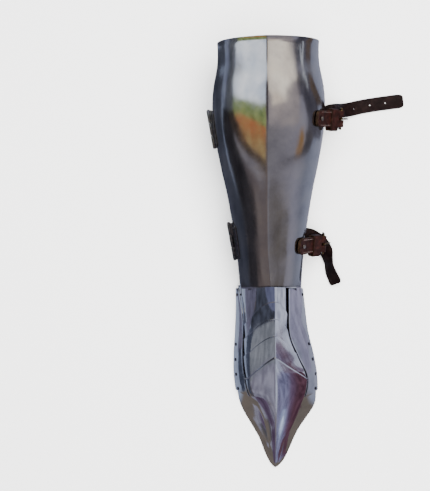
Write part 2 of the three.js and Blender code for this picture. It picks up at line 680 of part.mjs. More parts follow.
// A prong: an eye round the bar and a tapered tongue that reaches over the hoop's far side.
function prongShape() {
  const hole = barRadius + gap;
  const outer = hole + 1.3;
  const reach = buckleLength + 2.5;
  const wide = prongRadius * 2.7;
  const lie = buckleWire / 2 + gap;
  const tongue = new THREE.Shape()
    .moveTo(0, -outer)
    .lineTo(outer * 0.7, -outer * 0.7)
    .lineTo(outer, lie * 0.35)
    .lineTo(reach - 5, lie + 0.15)
    .lineTo(reach, lie + 0.5)
    .lineTo(reach - 0.3, lie + 1.3)
    .lineTo(reach - 5, lie + 0.15 + 2 * prongRadius)
    .lineTo(outer * 0.8, outer)
    .lineTo(0, outer)
    .lineTo(-outer * 0.7, outer * 0.7)
    .lineTo(-outer, 0)
    .lineTo(-outer * 0.7, -outer * 0.7)
    .closePath();
  tongue.holes.push(new THREE.Path().absarc(0, 0, hole, 0, 2 * Math.PI, true));
  return new THREE.ExtrudeGeometry(tongue, { depth: wide, bevelEnabled: false, curveSegments: 5 })
    .rotateX(quarter)
    .translate(0, wide / 2, 0);
}

const prongLean = 28; // degrees between the hanging buckle and its prong

function strapEnd(name, share, angle) {
  const at = shinAt(share * greaveLength, angle);
  const side = at.normal.clone().cross(at.round);
  const frame = frameAt(at.point, at.round, at.normal);
  const chape = chapeShape(frame);
  let leather = chape.solid;
  [leather, shin] = riveted(leg, `${name}_chape_rivet`, strapRivet, frame, [leather, shin], brass);
  addMesh(leg, `${name}_chape`, geometryOf(leather), chapeLeather);
  addMesh(leg, `${name}_keeper`, keeperShape(frame), chapeLeather);
  // The buckle hangs straight down from the eye, and its prong leans out of it.
  const down = vector(0, 0, -1).transformDirection(legInverse);
  const bar = side.clone();
  const fall = down.clone().addScaledVector(bar, -down.dot(bar)).normalize();
  const face = fall.clone().cross(bar);
  const centre = vector(chape.eye.x, 0, chape.eye.z).applyMatrix4(frame);
  addMesh(leg, `${name}_buckle`, buckleShape().applyMatrix4(frameAt(centre, fall, face)), brass);
  const lean = (v) => v.clone().applyAxisAngle(bar, -radians(prongLean));
  const leaning = frameAt(centre, lean(fall), lean(face));
  addMesh(leg, `${name}_prong`, prongShape().applyMatrix4(leaning), brass);
}

strapEnd("upper", upperChapeAt, 59);
strapEnd("lower", lowerChapeAt, 62);

// Loose strap ends on the calf shell. They are drawn in the object's frame, because they lie on the floor.

function looseStrap(name, share, angle, route, pointed, holes) {
  const y = share * greaveLength;
  const at = calfAt(y, angle);
  const toWorld = leg.matrixWorld;
  const normal = at.normal.clone().transformDirection(toWorld);
  const round = at.round.clone().transformDirection(toWorld);
  const start = at.point.clone().applyMatrix4(toWorld);
  const lift = normal.clone().multiplyScalar(leatherLift + strapThick / 2);
  const edge = greaveSize(y).half;
  const first = [-9, 0, 8].map((d) => start.clone().addScaledVector(round, d).add(lift));
  const middle = first.map((p) => ({ p, width: normal.clone().cross(round) }));
  for (const { out, along: shift, up, turn, lean } of route) {
    const a = radians(turn);
    const b = radians(lean);
    middle.push({
      p: vector(edge + out, start.y + shift, up),
      width: vector(Math.sin(a) * Math.cos(b), Math.cos(a) * Math.cos(b), Math.sin(b)),
    });
  }
  const curve = new THREE.CatmullRomCurve3(middle.map((m) => m.p), false, "centripetal");
  const count = Math.round((middle.length - 1) * 1.5);
  const rows = evenly(0, 1, count).map((t) => {
    const p = curve.getPoint(t);
    const direction = curve.getTangent(t);
    const i = Math.min(Math.floor(t * (middle.length - 1)), middle.length - 2);
    const share2 = t * (middle.length - 1) - i;
    const width = middle[i].width.clone().lerp(middle[i + 1].width, share2);
    width.addScaledVector(direction, -width.dot(direction)).normalize();
    return { p, width, face: direction.clone().cross(width) };
  });
  // The last two rows narrow the strap's end.
  const narrow = (i) => (i === count ? pointed : i === count - 1 ? mix(pointed, 1, 0.8) : 1);
  const grid = (distance) =>
    rows.map(({ p, width, face }, i) =>
      evenly(-1, 1, 2).map((s) =>
        p.clone()
          .addScaledVector(width, (s * narrow(i) * strapWidth) / 2)
          .addScaledVector(face, distance),
      ),
    );
  const shape = sheetBetween(grid(strapThick / 2), grid(-strapThick / 2)).applyMatrix4(legInverse);
  let strap = solidOf(shape);
  for (const t of holes) {
    const normalHere = curve.getTangent(t).cross(vector(0, 1, 0)).normalize();
    const place = frameAt(curve.getPoint(t), vector(0, 1, 0), normalHere);
    strap = strap.subtract(solidOf(rod(strapHole, -5, 5, legInverse.clone().multiply(place), 6)));
  }
  const frame = frameAt(at.point, at.round, at.normal);
  [strap, calf] = riveted(leg, `${name}_strap_rivet`, strapRivet, frame, [strap, calf], brass);
  addMesh(leg, `${name}_strap`, geometryOf(strap), strapLeather);
}

looseStrap("upper", upperStrapAt, 66, upperStrapRoute, 0.45, strapHoles);
looseStrap("lower", lowerStrapAt, 50, lowerStrapRoute, 0.6, []);

addMesh(leg, "shin_shell", geometryOf(shin), steel);
addMesh(leg, "calf_shell", geometryOf(calf), steel);

// Sabaton: drawn in the object's frame, from the ankle towards -Y, with the sole edges on the floor.

const rimPoint = (angle) => {
  const y = shinLowerEdge(angle);
  const p = shinPoint(greaveSize(y), angle);
  return vector(p.x, y, p.y).applyMatrix4(leg.matrixWorld);
};
const instepHeight = rimPoint(0).z - instepDrop;
const footStart = Math.min(...shinAngles.map((a) => rimPoint(a).y)) - ankleGap;
const layer = sheet + lameGap; // how far each lame's rear edge stands over the plate that it covers

// Columns of the section from the ridge round to below the sole edge, which the floor cuts off.
const rounds = [0, 0.33, 0.67, 1, 1.5, 2.08];

// A point of the foot's section. side is -1 on the hinge side and 1 on the buckle side.
function footPoint(q, side, around) {
  const column = (name) => along(footSections, name, q);
  const word = side < 0 ? "In" : "Out";
  const sole = new THREE.Vector2(column(`sole${word}`) * footWidth, 0);
  const crease = new THREE.Vector2(column(`crease${word}`) * footWidth, column("creaseUp") * instepHeight);
  const ridge = new THREE.Vector2(0, column("ridgeUp") * instepHeight);
  const [a, b, t, bulge] = around <= 1 ? [ridge, crease, around, 0.055] : [crease, sole, around - 1, 0.035];
  const chord = b.clone().sub(a);
  const out = new THREE.Vector2(-chord.y, chord.x).multiplyScalar(bulge * 4 * Math.max(t * (1 - t), -0.1));
  const p = a.clone().addScaledVector(chord, t).add(out);
  return new THREE.Vector2(side * p.x + ridgeOffset + q * footLength * Math.tan(radians(footTurn)), p.y);
}

// The foot's section at a place, as a line from one side to the other, moved out by a distance.
function footLine(q, columns, distance) {
  const line = columns.map(({ side, around }) => footPoint(q, side, around));
  return offsetLine(line, distance);
}

const footY = (q) => footStart - q * footLength;

const fullColumns = [
  ...rounds.slice(1).reverse().map((around) => ({ side: -1, around })),
  ...rounds.map((around) => ({ side: 1, around })),
];

function plateEdge(plate, around) {
  if (around <= 1) return mix(plate.ridge, plate.crease, around ** plate.arch);
  return mix(plate.crease, plate.sole, Math.min(around - 1, 1) ** 1.2);
}

// How far a plate's outer face stands off at a place: raised over the plate behind it, then down to
// the base line before the next plate covers it.
function plateLift(rear, nextRear, q, raised) {
  if (!raised) return 0;
  const flat = lameOverlap / footLength;
  const from = rear + flat * 1.15;
  const to = Math.max(nextRear - flat * 0.15, from + 0.004);
  return layer * (1 - THREE.MathUtils.smoothstep(q, from, to));
}

function footPlate(index) {
  const plate = footPlates[index];
  const next = footPlates[index + 1];
  const overlap = lameOverlap / footLength;
  const rows = next ? evenly(0, 1, index ? 5 : 8) : [...evenly(0, 0.9, 9), 0.96, 1];
  const tipStart = 0.94; // the hollow ends here, and the tip beyond it is solid
  const grid = (inside) =>
    rows.map((share) =>
      fullColumns.map(({ around }, column) => {
        const rear = plateEdge(plate, around);
        const nextRear = next ? plateEdge(next, around) : 2;
        const q = mix(rear, next ? nextRear + overlap : 1, share);
        const lift = plateLift(rear, next ? nextRear : 0.75, q, index > 0) - (inside ? sheet : 0);
        if (!next && share === 1) {
          const tip = footPoint(1, 1, 0);
          return vector(tip.x, footY(inside ? tipStart + 0.01 : 1), tipHeight);
        }
        const place = !next && inside ? Math.min(q, mix(rear, tipStart, Math.min(share / 0.98, 1))) : q;
        const line = footLine(place, fullColumns, lift);
        return vector(line[column].x, footY(place), line[column].y);
      }),
    );
  return sheetBetween(grid(false), grid(true));
}

const tall = 400;
const underFloor = solidOf(new THREE.BoxGeometry(2000, 2000, tall).translate(0, 0, -tall / 2));

// A side plate over the ends of the lames, from its upper edge down to the sole.
function sidePlate(side, edge) {
  const base = layer + sideGap;
  const end = rounds[rounds.length - 1];
  const front = { upper: 0.605, sole: 0.572 };
  const columns = evenly(0, 1, 4);
  const columnsAt = (q) => columns.map((step) => ({ side, around: mix(along(edge, "around", q), end, step) }));
  const grid = (distance) =>
    evenly(0, 1, 9).map((share) =>
      columns.map((_, column) => {
        const { around } = columnsAt(share * front.upper)[column];
        const rear = 0.055 * Math.max(around - 1.45, 0) / 0.6;
        const q = mix(rear, mix(front.upper, front.sole, Math.min(around - 1, 1)), share);
        const line = footLine(q, side < 0 ? columnsAt(q).reverse() : columnsAt(q), distance);
        const p = line[side < 0 ? line.length - 1 - column : column];
        return vector(p.x, footY(q), p.y);
      }),
    );
  return sheetBetween(grid(base + sheet), grid(base));
}

let plates = footPlates.map((_, index) => solidOf(footPlate(index)).subtract(underFloor));
const sidePlates = {
  inner: solidOf(sidePlate(-1, innerPlateEdge)).subtract(underFloor),
  outer: solidOf(sidePlate(1, outerPlateEdge)).subtract(underFloor),
};

for (const [word, side] of [["inner", -1], ["outer", 1]]) {
  sideRivets.forEach(({ at, around }, i) => {
    const step = 0.01;
    const point = (q, a) => {
      const p = footPoint(q, side, a);
      return vector(p.x, footY(q), p.y);
    };
    const centre = point(at, around);
    const down = point(at, around + step).sub(point(at, around - step)).normalize();
    const toe = point(at + step, around).sub(point(at - step, around)).normalize();
    const normal = down.clone().cross(toe).multiplyScalar(side).normalize();
    const frame = frameAt(centre, down, normal);
    const stack = [sidePlates[word], ...plates];
    [sidePlates[word], ...plates] = riveted(model, `side_rivet_${word}_${i + 1}`, sideRivet, frame, stack);
  });
}

footPlates.forEach(({ name }, index) => addMesh(model, name, geometryOf(plates[index]), mirrorSteel));
addMesh(model, "side_plate_inner", geometryOf(sidePlates.inner), mirrorSteel);
addMesh(model, "side_plate_outer", geometryOf(sidePlates.outer), mirrorSteel);

// A plain leather band inside the ankle carries the sabaton on the greave. It is hidden from outside.

function ankleLeather() {
  const across = evenly(-0.36, 0.36, 6);
  const inGreave = [22, 14, 7];
  const inFoot = [-0.01, 0.03, 0.07];
  const inside = -sheet - gap;
  const upper = [];
  for (const above of inGreave) {
    upper.push(
      across.map((share) => {
        const angle = THREE.MathUtils.radToDeg(Math.asin(share));
        const y = shinLowerEdge(angle) + above;
        const at = shinAt(y, angle === 0 ? 0.001 : angle);
        const p = share === 0 ? at.point.clone().add(vector(0, 0, inside * 1.3)) : at.point.clone().addScaledVector(at.normal, inside * 1.1);
        return p.applyMatrix4(leg.matrixWorld);
      }),
    );
  }
  for (const q of inFoot) {
    const line = footLine(q, fullColumns, inside);
    const curve = line.map((p) => vector(p.x, footY(q), p.y));
    upper.push(
      across.map((share) => {
        const x = ridgeOffset + share * (ankleWidth / 2);
        const i = Math.max(1, curve.findIndex((p) => p.x >= x));
        const t = (x - curve[i - 1].x) / (curve[i].x - curve[i - 1].x);
        return curve[i - 1].clone().lerp(curve[i], t);
      }),
    );
  }
  const lower = upper.map((row) => row.map((p) => p.clone().add(vector(0, 0, -ankleLeatherThick * 1.2))));
  return sheetBetween(upper, lower);
}

addMesh(model, "ankle_leather", ankleLeather(), strapLeather);

// The origin goes to the middle of the underside.
const bounds = new THREE.Box3().setFromObject(model, true);
const middle = bounds.getCenter(vector(0, 0, 0));
for (const child of model.children) {
  child.position.x -= middle.x;
  child.position.y -= middle.y;
  child.position.z -= bounds.min.z;
}

export default model;
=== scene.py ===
"""The looks of a left leg's greave with its attached sabaton, lying on its back on a pale floor.

Shapes are worked out in millimetres, from the same tables as the part's source, and become metres
when a mesh is made. The greave has its own frame: Y along the leg from the ankle to the knee, Z up
from the seam. The sabaton is worked out in the object's frame.
"""

import math

import bmesh
import bpy
import numpy as np
from mathutils import Matrix, Vector, noise


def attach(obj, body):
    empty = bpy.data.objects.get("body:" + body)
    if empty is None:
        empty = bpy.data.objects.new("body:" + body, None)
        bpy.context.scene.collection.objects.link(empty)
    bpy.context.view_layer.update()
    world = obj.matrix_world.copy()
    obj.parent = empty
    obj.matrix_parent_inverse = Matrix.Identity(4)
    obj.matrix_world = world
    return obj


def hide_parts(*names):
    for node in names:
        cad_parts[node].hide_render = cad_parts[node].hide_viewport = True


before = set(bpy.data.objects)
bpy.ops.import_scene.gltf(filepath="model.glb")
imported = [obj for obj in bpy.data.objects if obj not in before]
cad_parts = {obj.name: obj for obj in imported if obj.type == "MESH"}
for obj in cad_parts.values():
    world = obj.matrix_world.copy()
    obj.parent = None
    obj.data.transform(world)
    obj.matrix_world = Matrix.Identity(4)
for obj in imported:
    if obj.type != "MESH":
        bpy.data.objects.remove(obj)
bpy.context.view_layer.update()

MM = 0.001

# Sizes, in millimetres, as in the part's source unless a comment says otherwise

sheet = 1.2
gap = 0.35
lame_gap = 0.55
side_gap = 1.1
seam_gap = 0.8

greave_length = 362
calf_width = 166
ankle_width = 93
calf_front = 79
ankle_front = 47
calf_back = 78
ankle_back = 42
ridge_shift = 6.5
rim_flare = 2.6
rim_band = 10
rim_drop = 4
arch_rise = 13
knee_dip = 16

foot_length = 283
foot_width = 128
ridge_offset = 3.1
foot_turn = 1.4
leg_turn = 1.05
leg_tilt = 7.0637
leg_place = (-56.5564, -35.7363, 47.0799)
foot_place = (-56.5564, -38.8191)
instep_height = 93.8225
lame_overlap = 12
tip_height = 5
layer = 1.15  # how far a lame's rear edge stands over the plate it covers, closer than the solids
plate_sheet = 1.0  # the lames as they show, a little thinner than the solids

hinge_length = 56
barrel_radius = 2.7
barrel_standoff = {"upper": 3.7, "lower": 5.4}
hinge_at = {"upper": 0.647, "lower": 0.185}
leaf_width = 13
leaf_sheet = 1.2
leaf_inset = 1.5
knuckle_gap = 0.4
pin_radius = 1.2

chape_width = 24
chape_reach = 47
chape_tail = 10
chape_bend = 20
chape_thick = 4.6
chape_layer = 2.2
strap_width = 21.5  # as it shows: the solid is 19.5 wide
strap_thick = 2.6
strap_hole = 1.25
leather_lift = 0.8
bar_radius = 1.5
buckle_length = 19
buckle_wire = 3
prong_radius = 1.1
prong_lean = 28
keeper_width = 14  # as it shows: the solid is 12 wide
keeper_thick = 2.2
keeper_at = 0.65  # share of the chape's reach

side_rivet = {"head": 3.1, "rise": 1.9, "shank": 1.5}
leaf_rivet = {"head": 2.5, "rise": 1.3, "shank": 1.2}
strap_rivet = {"head": 3.3, "rise": 2.0, "shank": 1.5}

# Share of the length, side, front, back, keel, ridge
greave_sections = [
    (0.0, 0.0, 0.09, 0.14, 0.34, 0.45),
    (0.07, 0.05, 0.02, 0.03, 0.34, 0.7),
    (0.15, 0.115, 0.0, 0.0, 0.34, 0.95),
    (0.24, 0.23, 0.09, 0.08, 0.34, 1.0),
    (0.32, 0.36, 0.24, 0.22, 0.33, 1.0),
    (0.4, 0.5, 0.41, 0.39, 0.31, 1.0),
    (0.48, 0.68, 0.61, 0.6, 0.28, 1.0),
    (0.56, 0.83, 0.79, 0.8, 0.25, 1.0),
    (0.64, 0.945, 0.92, 0.94, 0.22, 1.0),
    (0.7, 1.0, 1.0, 1.0, 0.2, 1.0),
    (0.77, 0.995, 1.01, 0.99, 0.2, 1.0),
    (0.83, 0.925, 0.96, 0.9, 0.21, 0.97),
    (0.89, 0.785, 0.86, 0.77, 0.23, 0.93),
    (0.94, 0.75, 0.8, 0.66, 0.25, 0.9),
    (1.0, 0.765, 0.78, 0.58, 0.26, 0.85),
]

# Share of the foot's length, sole in, sole out, crease in, crease out, crease up, ridge up
foot_sections = [
    (0, 0.398, 0.358, 0.258, 0.168, 0.8, 1),
    (0.12, 0.403, 0.381, 0.265, 0.168, 0.72, 0.925),
    (0.25, 0.42, 0.412, 0.275, 0.178, 0.605, 0.815),
    (0.38, 0.444, 0.475, 0.297, 0.27, 0.48, 0.7),
    (0.485, 0.449, 0.508, 0.306, 0.375, 0.385, 0.6),
    (0.58, 0.43, 0.513, 0.292, 0.361, 0.315, 0.505),
    (0.65, 0.405, 0.5, 0.207, 0.302, 0.27, 0.44),
    (0.72, 0.335, 0.405, 0.14, 0.241, 0.23, 0.375),
    (0.78, 0.258, 0.31, 0.107, 0.184, 0.195, 0.32),
    (0.84, 0.186, 0.238, 0.088, 0.124, 0.16, 0.265),
    (0.9, 0.139, 0.177, 0.066, 0.078, 0.125, 0.205),
    (0.95, 0.094, 0.122, 0.043, 0.048, 0.095, 0.15),
    (0.985, 0.055, 0.07, 0.024, 0.027, 0.07, 0.1),
]

# Rear edge of each plate at the ridge, crease and sole, and how the edge bows. The instep plate
# reaches further to the rear than its solid does
foot_plates = [
    ("instep_plate", -0.012, -0.012, 0.0, 1),
    ("lame_1", 0.073, 0.163, 0.305, 1.9),
    ("lame_2", 0.165, 0.246, 0.382, 1.8),
    ("lame_3", 0.256, 0.352, 0.462, 1.6),
    ("toe_cap", 0.369, 0.492, 0.54, 1.15),
]

# Upper edges of the side plates, as they show
inner_plate_edge = [
    (0, 1.74), (0.045, 1.7), (0.085, 1.56), (0.13, 1.45), (0.22, 1.38),
    (0.36, 1.35), (0.48, 1.24), (0.56, 1.12), (0.63, 1.1),
]
outer_plate_edge = [(0, 0.88), (0.22, 0.9), (0.3, 0.98), (0.38, 1.05), (0.5, 1.06), (0.63, 1.06)]
side_rivets = [(0.05, 1.85), (0.322, 1.82), (0.405, 1.8), (0.485, 1.77), (0.561, 1.72)]

# Out from the shell's edge, along the leg, up from the floor, and the turn and lean of the width
strap_routes = {
    "upper": [
        (4, 8.5, 58, -12, 0), (11, 10, 58, -12, 0), (18, 12, 49, -12, 0), (24, 14, 35, -12, 0),
        (31, 16.6, 19, -12, 0), (41, 19.6, 7.5, -12, 0), (55, 23.4, 2.4, -12, 0),
        (77, 27.6, 1.45, -10, 0), (102, 31.2, 1.45, -8, 0), (127, 34.2, 1.45, -7, 0),
    ],
    "lower": [
        (4, -1, 31, 0, 0), (11, -3, 30, 4, 0), (19, -7, 24.5, 12, 0), (26, -12, 17, 24, 0),
        (31, -18, 11.8, 38, 6), (35, -26, 11.2, 58, 26), (37.5, -36, 11.6, 76, 54),
        (39.5, -46, 11.6, 82, 66), (43.5, -60, 9.6, 78, 50), (48, -70, 8.6, 76, 44),
        (51, -77, 8.4, 75, 42),
    ],
}
# Share of the greave's length, and degrees round: from the calf shell's lowest line for the straps,
# and from the ridge for the chapes
strap_places = {"upper": (0.682, 66), "lower": (0.2, 50)}
chape_places = {"upper": (0.682, 59), "lower": (0.165, 62)}
# Shares of the strap's own length
strap_holes = {"upper": (0.717, 0.823, 0.903), "lower": ()}
# How long each strap's end is rounded, and the share of the width that is left there
strap_tips = {"upper": (9, 0.62), "lower": (7, 0.7)}


# Curves and surfaces


def mix(a, b, t):
    return a + (b - a) * t


def smoothstep(value, low, high):
    t = np.clip((np.asarray(value, float) - low) / (high - low), 0, 1)
    return t * t * (3 - 2 * t)


def unit(vectors):
    vectors = np.asarray(vectors, float)
    return vectors / np.maximum(np.linalg.norm(vectors, axis=-1, keepdims=True), 1e-12)


def table_curve(rows, column, soften):
    """One column of a table as a smooth curve through its rows, evened over a short length."""
    at = np.array([row[0] for row in rows], float)
    value = np.array([row[column] for row in rows], float)
    last = len(at) - 1
    before = np.maximum(np.arange(last + 1) - 1, 0)
    after = np.minimum(np.arange(last + 1) + 1, last)
    slope = (value[after] - value[before]) / (at[after] - at[before])
    steps = 8  # of the table in one softening length
    reach = 3 * steps
    step = soften / steps
    fine = np.arange(at[0] - 4 * soften, at[-1] + 4 * soften + step, step)
    place = np.clip(fine, at[0], at[-1])
    i = np.clip(np.searchsorted(at, place, side="right") - 1, 0, last - 1)
    span = at[i + 1] - at[i]
    t = (place - at[i]) / span
    straight = value[i + 1] - value[i]
    bend = (1 - t) * (slope[i] * span - straight) - t * (slope[i + 1] * span - straight)
    curve = value[i] + t * straight + t * (1 - t) * bend
    curve += np.where(fine < at[0], slope[0] * (fine - at[0]), 0)
    curve += np.where(fine > at[-1], slope[-1] * (fine - at[-1]), 0)
    window = np.exp(-0.5 * (np.arange(-reach, reach + 1) / steps) ** 2)
    evened = np.convolve(np.pad(curve, reach, mode="edge"), window / window.sum(), mode="valid")
    return lambda places: np.interp(places, fine, evened)


side_of, front_of, back_of, keel_of, ridge_of = [
    table_curve(greave_sections, column, 0.02) for column in range(1, 6)
]
sole_in, sole_out, crease_in, crease_out, crease_up, ridge_up = [
    table_curve(foot_sections, column, 0.012) for column in range(1, 7)
]


def greave_size(y):
    y = np.asarray(y, float)
    at = np.clip(y / greave_length, 0, 1)
    turn = np.maximum(0, 1 - (greave_length - y) / rim_band)
    flare = rim_flare * turn**2
    return {
        "half": mix(ankle_width, calf_width, side_of(at)) / 2 + flare * 0.35,
        "front": mix(ankle_front, calf_front, front_of(at)) + flare,
        "back": mix(ankle_back, calf_back, back_of(at)) + flare * 0.35,
        "keel": keel_of(at),
        "ridge": -ridge_shift * ridge_of(at),
    }


ridge_round = 0.008  # how far round the shin the ridge's crest is eased, as a sine


def shin_surface(y, angle):
    """Points of the shin shell's outer face. -90 is the hinge seam, 0 the ridge, 90 the far one."""
    size = greave_size(y)
    turn = np.radians(angle)
    sine = np.sin(turn)
    eased = np.sqrt(sine**2 + ridge_round**2) - ridge_round
    reach = size["half"] - np.sign(angle) * size["ridge"]
    height = (1 - size["keel"]) * np.cos(turn) + size["keel"] * (1 - eased)
    x = size["ridge"] + reach * sine
    return np.stack([x, np.broadcast_to(y, x.shape), size["front"] * height + seam_gap / 2], -1)


def calf_surface(y, angle):
    size = greave_size(y)
    turn = np.radians(angle)
    x = size["half"] * np.sin(turn)
    z = -size["back"] * np.cos(turn) - seam_gap / 2
    return np.stack([x, np.broadcast_to(y, x.shape), z], -1)


def surface_frame(surface, y, angle, facing):
    """A place on a shell: the point, the way round, the way up the leg and the way out."""
    step = 0.5
    at = lambda yy, a: surface(np.array([yy]), np.array([float(a)]))[0]
    point = at(y, angle)
    around = unit(at(y, angle + step) - at(y, angle - step))
    up = unit(at(y + step, angle) - at(y - step, angle))
    return point, around, up, unit(np.cross(around, up) * facing)


def shin_frame(y, angle):
    return surface_frame(shin_surface, y, angle, 1)


def calf_frame(y, angle):
    return surface_frame(calf_surface, y, angle, -1)


def shin_lower_edge(angle):
    turn = np.abs(angle) / 90
    rise = 0.55 * np.cos(turn * math.pi / 2) ** 2 + 0.45 * (1 - np.minimum(turn * 3, 1)) ** 1.6
    return arch_rise * rise


shin_cut_drop = 4.4
shin_cut_peak = 0.3


def shin_cut_edge(angle):
    """The lower edge as it shows: closer over the instep, with only a small peak at the ridge."""
    turn = np.abs(angle) / 90
    peak = shin_cut_peak * (1 - np.minimum(turn * 3, 1)) ** 1.6
    return shin_lower_edge(angle) - arch_rise * peak - shin_cut_drop


def shin_upper_edge(angle):
    return greave_length - rim_drop * (np.abs(angle) / 90) ** 3


def calf_upper_edge(angle):
    return greave_length - rim_drop - knee_dip * np.cos(np.radians(angle)) ** 2


leg = (
    Matrix.Translation(leg_place)
    @ Matrix.Rotation(math.radians(leg_turn), 4, "Z")
    @ Matrix.Rotation(math.radians(leg_tilt), 4, "X")
)
leg_turned = np.array(leg.to_3x3())
leg_moved = np.array(leg.translation)


def on_object(points):
    """Points of the greave's own frame in the object's frame."""
    return np.asarray(points, float) @ leg_turned.T + leg_moved


top_bulge, side_bulge = 0.055, 0.035  # how far the plates bow out, as shares of their width
fold_ease = 0.028
round_from = 0.965  # share of the foot's length where the tip starts to round over
lowest = 0.02


def ridge_x(q):
    return ridge_offset + q * foot_length * math.tan(math.radians(foot_turn))


def foot_line(q, around):
    """Points of the sabaton's section as (x, z). around is below 0 on the hinge side: 0 is the
    ridge, 1 the crease and 2 the sole edge. The folds are eased over a short way to each side."""
    q, around = np.broadcast_arrays(np.asarray(q, float), np.asarray(around, float))
    total = 0
    shares = ((-1, 1), (-0.5, 2), (0, 2), (0.5, 2), (1, 1))
    for shift, weight in shares:
        place = around + shift * fold_ease
        inner = place < 0
        a = np.abs(place)
        rise = crease_up(q) * instep_height
        crease = np.stack([np.where(inner, crease_in(q), crease_out(q)) * foot_width, rise], -1)
        sole = np.stack([np.where(inner, sole_in(q), sole_out(q)) * foot_width, 0 * q], -1)
        ridge = np.stack([0 * q, ridge_up(q) * instep_height], -1)
        top = (a <= 1)[..., None]
        start = np.where(top, ridge, crease)
        chord = np.where(top, crease, sole) - start
        t = np.where(a <= 1, a, a - 1)
        bulge = np.where(a <= 1, top_bulge, side_bulge) * 4 * np.maximum(t * (1 - t), -0.1)
        out = np.stack([-chord[..., 1], chord[..., 0]], -1)
        point = start + chord * t[..., None] + out * bulge[..., None]
        point[..., 0] *= np.where(inner, -1, 1)
        total = total + point * weight
    point = total / sum(weight for _, weight in shares)
    point[..., 0] += ridge_x(q)
    return point


def foot_surface(q, around, lift):
    """Points of the sabaton in the object's frame, moved out from its base surface by lift."""
    q, around, lift = np.broadcast_arrays(
        np.asarray(q, float), np.asarray(around, float), np.asarray(lift, float)
    )
    step = 0.012
    along = unit(foot_line(q, around + step) - foot_line(q, around - step))
    out = np.stack([-along[..., 1], along[..., 0]], -1)
    line = foot_line(q, around) + out * lift[..., None]
    over = np.clip((q - round_from) / (1 - round_from), 0, 1)
    shrink = np.sqrt(np.maximum(1 - over**2.2, 0))[..., None]
    middle = np.stack([ridge_x(q), 0 * q + tip_height], -1)
    line = middle + (line - middle) * shrink
    x = line[..., 0] + foot_place[0]
    y = foot_place[1] - q * foot_length
    return np.stack([x, y, np.maximum(line[..., 1], lowest)], -1)


# Meshes


def finish_mesh(name, bm, edge_faces=(), soften=0.0, segments=2, materials=()):
    """Turns a bmesh in millimetres into an object in metres, with its cut edges eased."""
    if soften:
        walls = set(edge_faces)
        edges = [
            e for e in bm.edges
            if len(e.link_faces) == 2 and (e.link_faces[0] in walls) != (e.link_faces[1] in walls)
        ]
        bmesh.ops.bevel(
            bm, geom=edges, offset=soften, segments=segments, profile=0.5,
            affect="EDGES", clamp_overlap=True, material=-1,
        )
    bmesh.ops.remove_doubles(bm, verts=bm.verts, dist=0.002)
    bmesh.ops.dissolve_degenerate(bm, edges=bm.edges, dist=0.001)
    bmesh.ops.recalc_face_normals(bm, faces=bm.faces)
    bmesh.ops.scale(bm, vec=(MM, MM, MM), verts=bm.verts)
    mesh = bpy.data.meshes.new(name)
    bm.to_mesh(mesh)
    bm.free()
    for face in mesh.polygons:
        face.use_smooth = True
    for material in materials:
        mesh.materials.append(material)
    piece = bpy.data.objects.new(name, mesh)
    bpy.context.scene.collection.objects.link(piece)
    return piece


def sheet_piece(name, outer, inner, soften=0.35, segments=2, keep=None, loop=False, materials=()):
    """A closed sheet between two grids of points. keep says which cells stand: the others are cut
    out. loop joins the last row to the first. Cut edges take the second material, if there is
    one."""
    rows, columns = outer.shape[:2]
    bm = bmesh.new()
    top = [[bm.verts.new(outer[r, c]) for c in range(columns)] for r in range(rows)]
    under = [[bm.verts.new(inner[r, c]) for c in range(columns)] for r in range(rows)]
    cells = rows if loop else rows - 1
    stands = np.ones((cells, columns - 1), bool) if keep is None else keep
    edge_index = 1 if len(materials) > 1 else 0
    walls = []

    def face(corners, index=0):
        made = bm.faces.new(corners)
        made.material_index = index
        return made

    def standing(r, c):
        if loop:
            r %= cells
        return 0 <= r < cells and 0 <= c < columns - 1 and stands[r, c]

    for r in range(cells):
        after = (r + 1) % rows
        for c in range(columns - 1):
            if not standing(r, c):
                continue
            face([top[r][c], top[r][c + 1], top[after][c + 1], top[after][c]])
            face([under[r][c], under[after][c], under[after][c + 1], under[r][c + 1]])
            sides = (
                (r - 1, c, (r, c), (r, c + 1)),
                (r + 1, c, (after, c + 1), (after, c)),
                (r, c - 1, (after, c), (r, c)),
                (r, c + 1, (r, c + 1), (after, c + 1)),
            )
            for near_r, near_c, a, b in sides:
                if not standing(near_r, near_c):
                    (ar, ac), (br, bc) = a, b
                    corners = [top[ar][ac], under[ar][ac], under[br][bc], top[br][bc]]
                    walls.append(face(corners, edge_index))
    loose = [v for v in bm.verts if not v.link_faces]
    bmesh.ops.delete(bm, geom=loose, context="VERTS")
    return finish_mesh(name, bm, walls, soften, segments, materials)


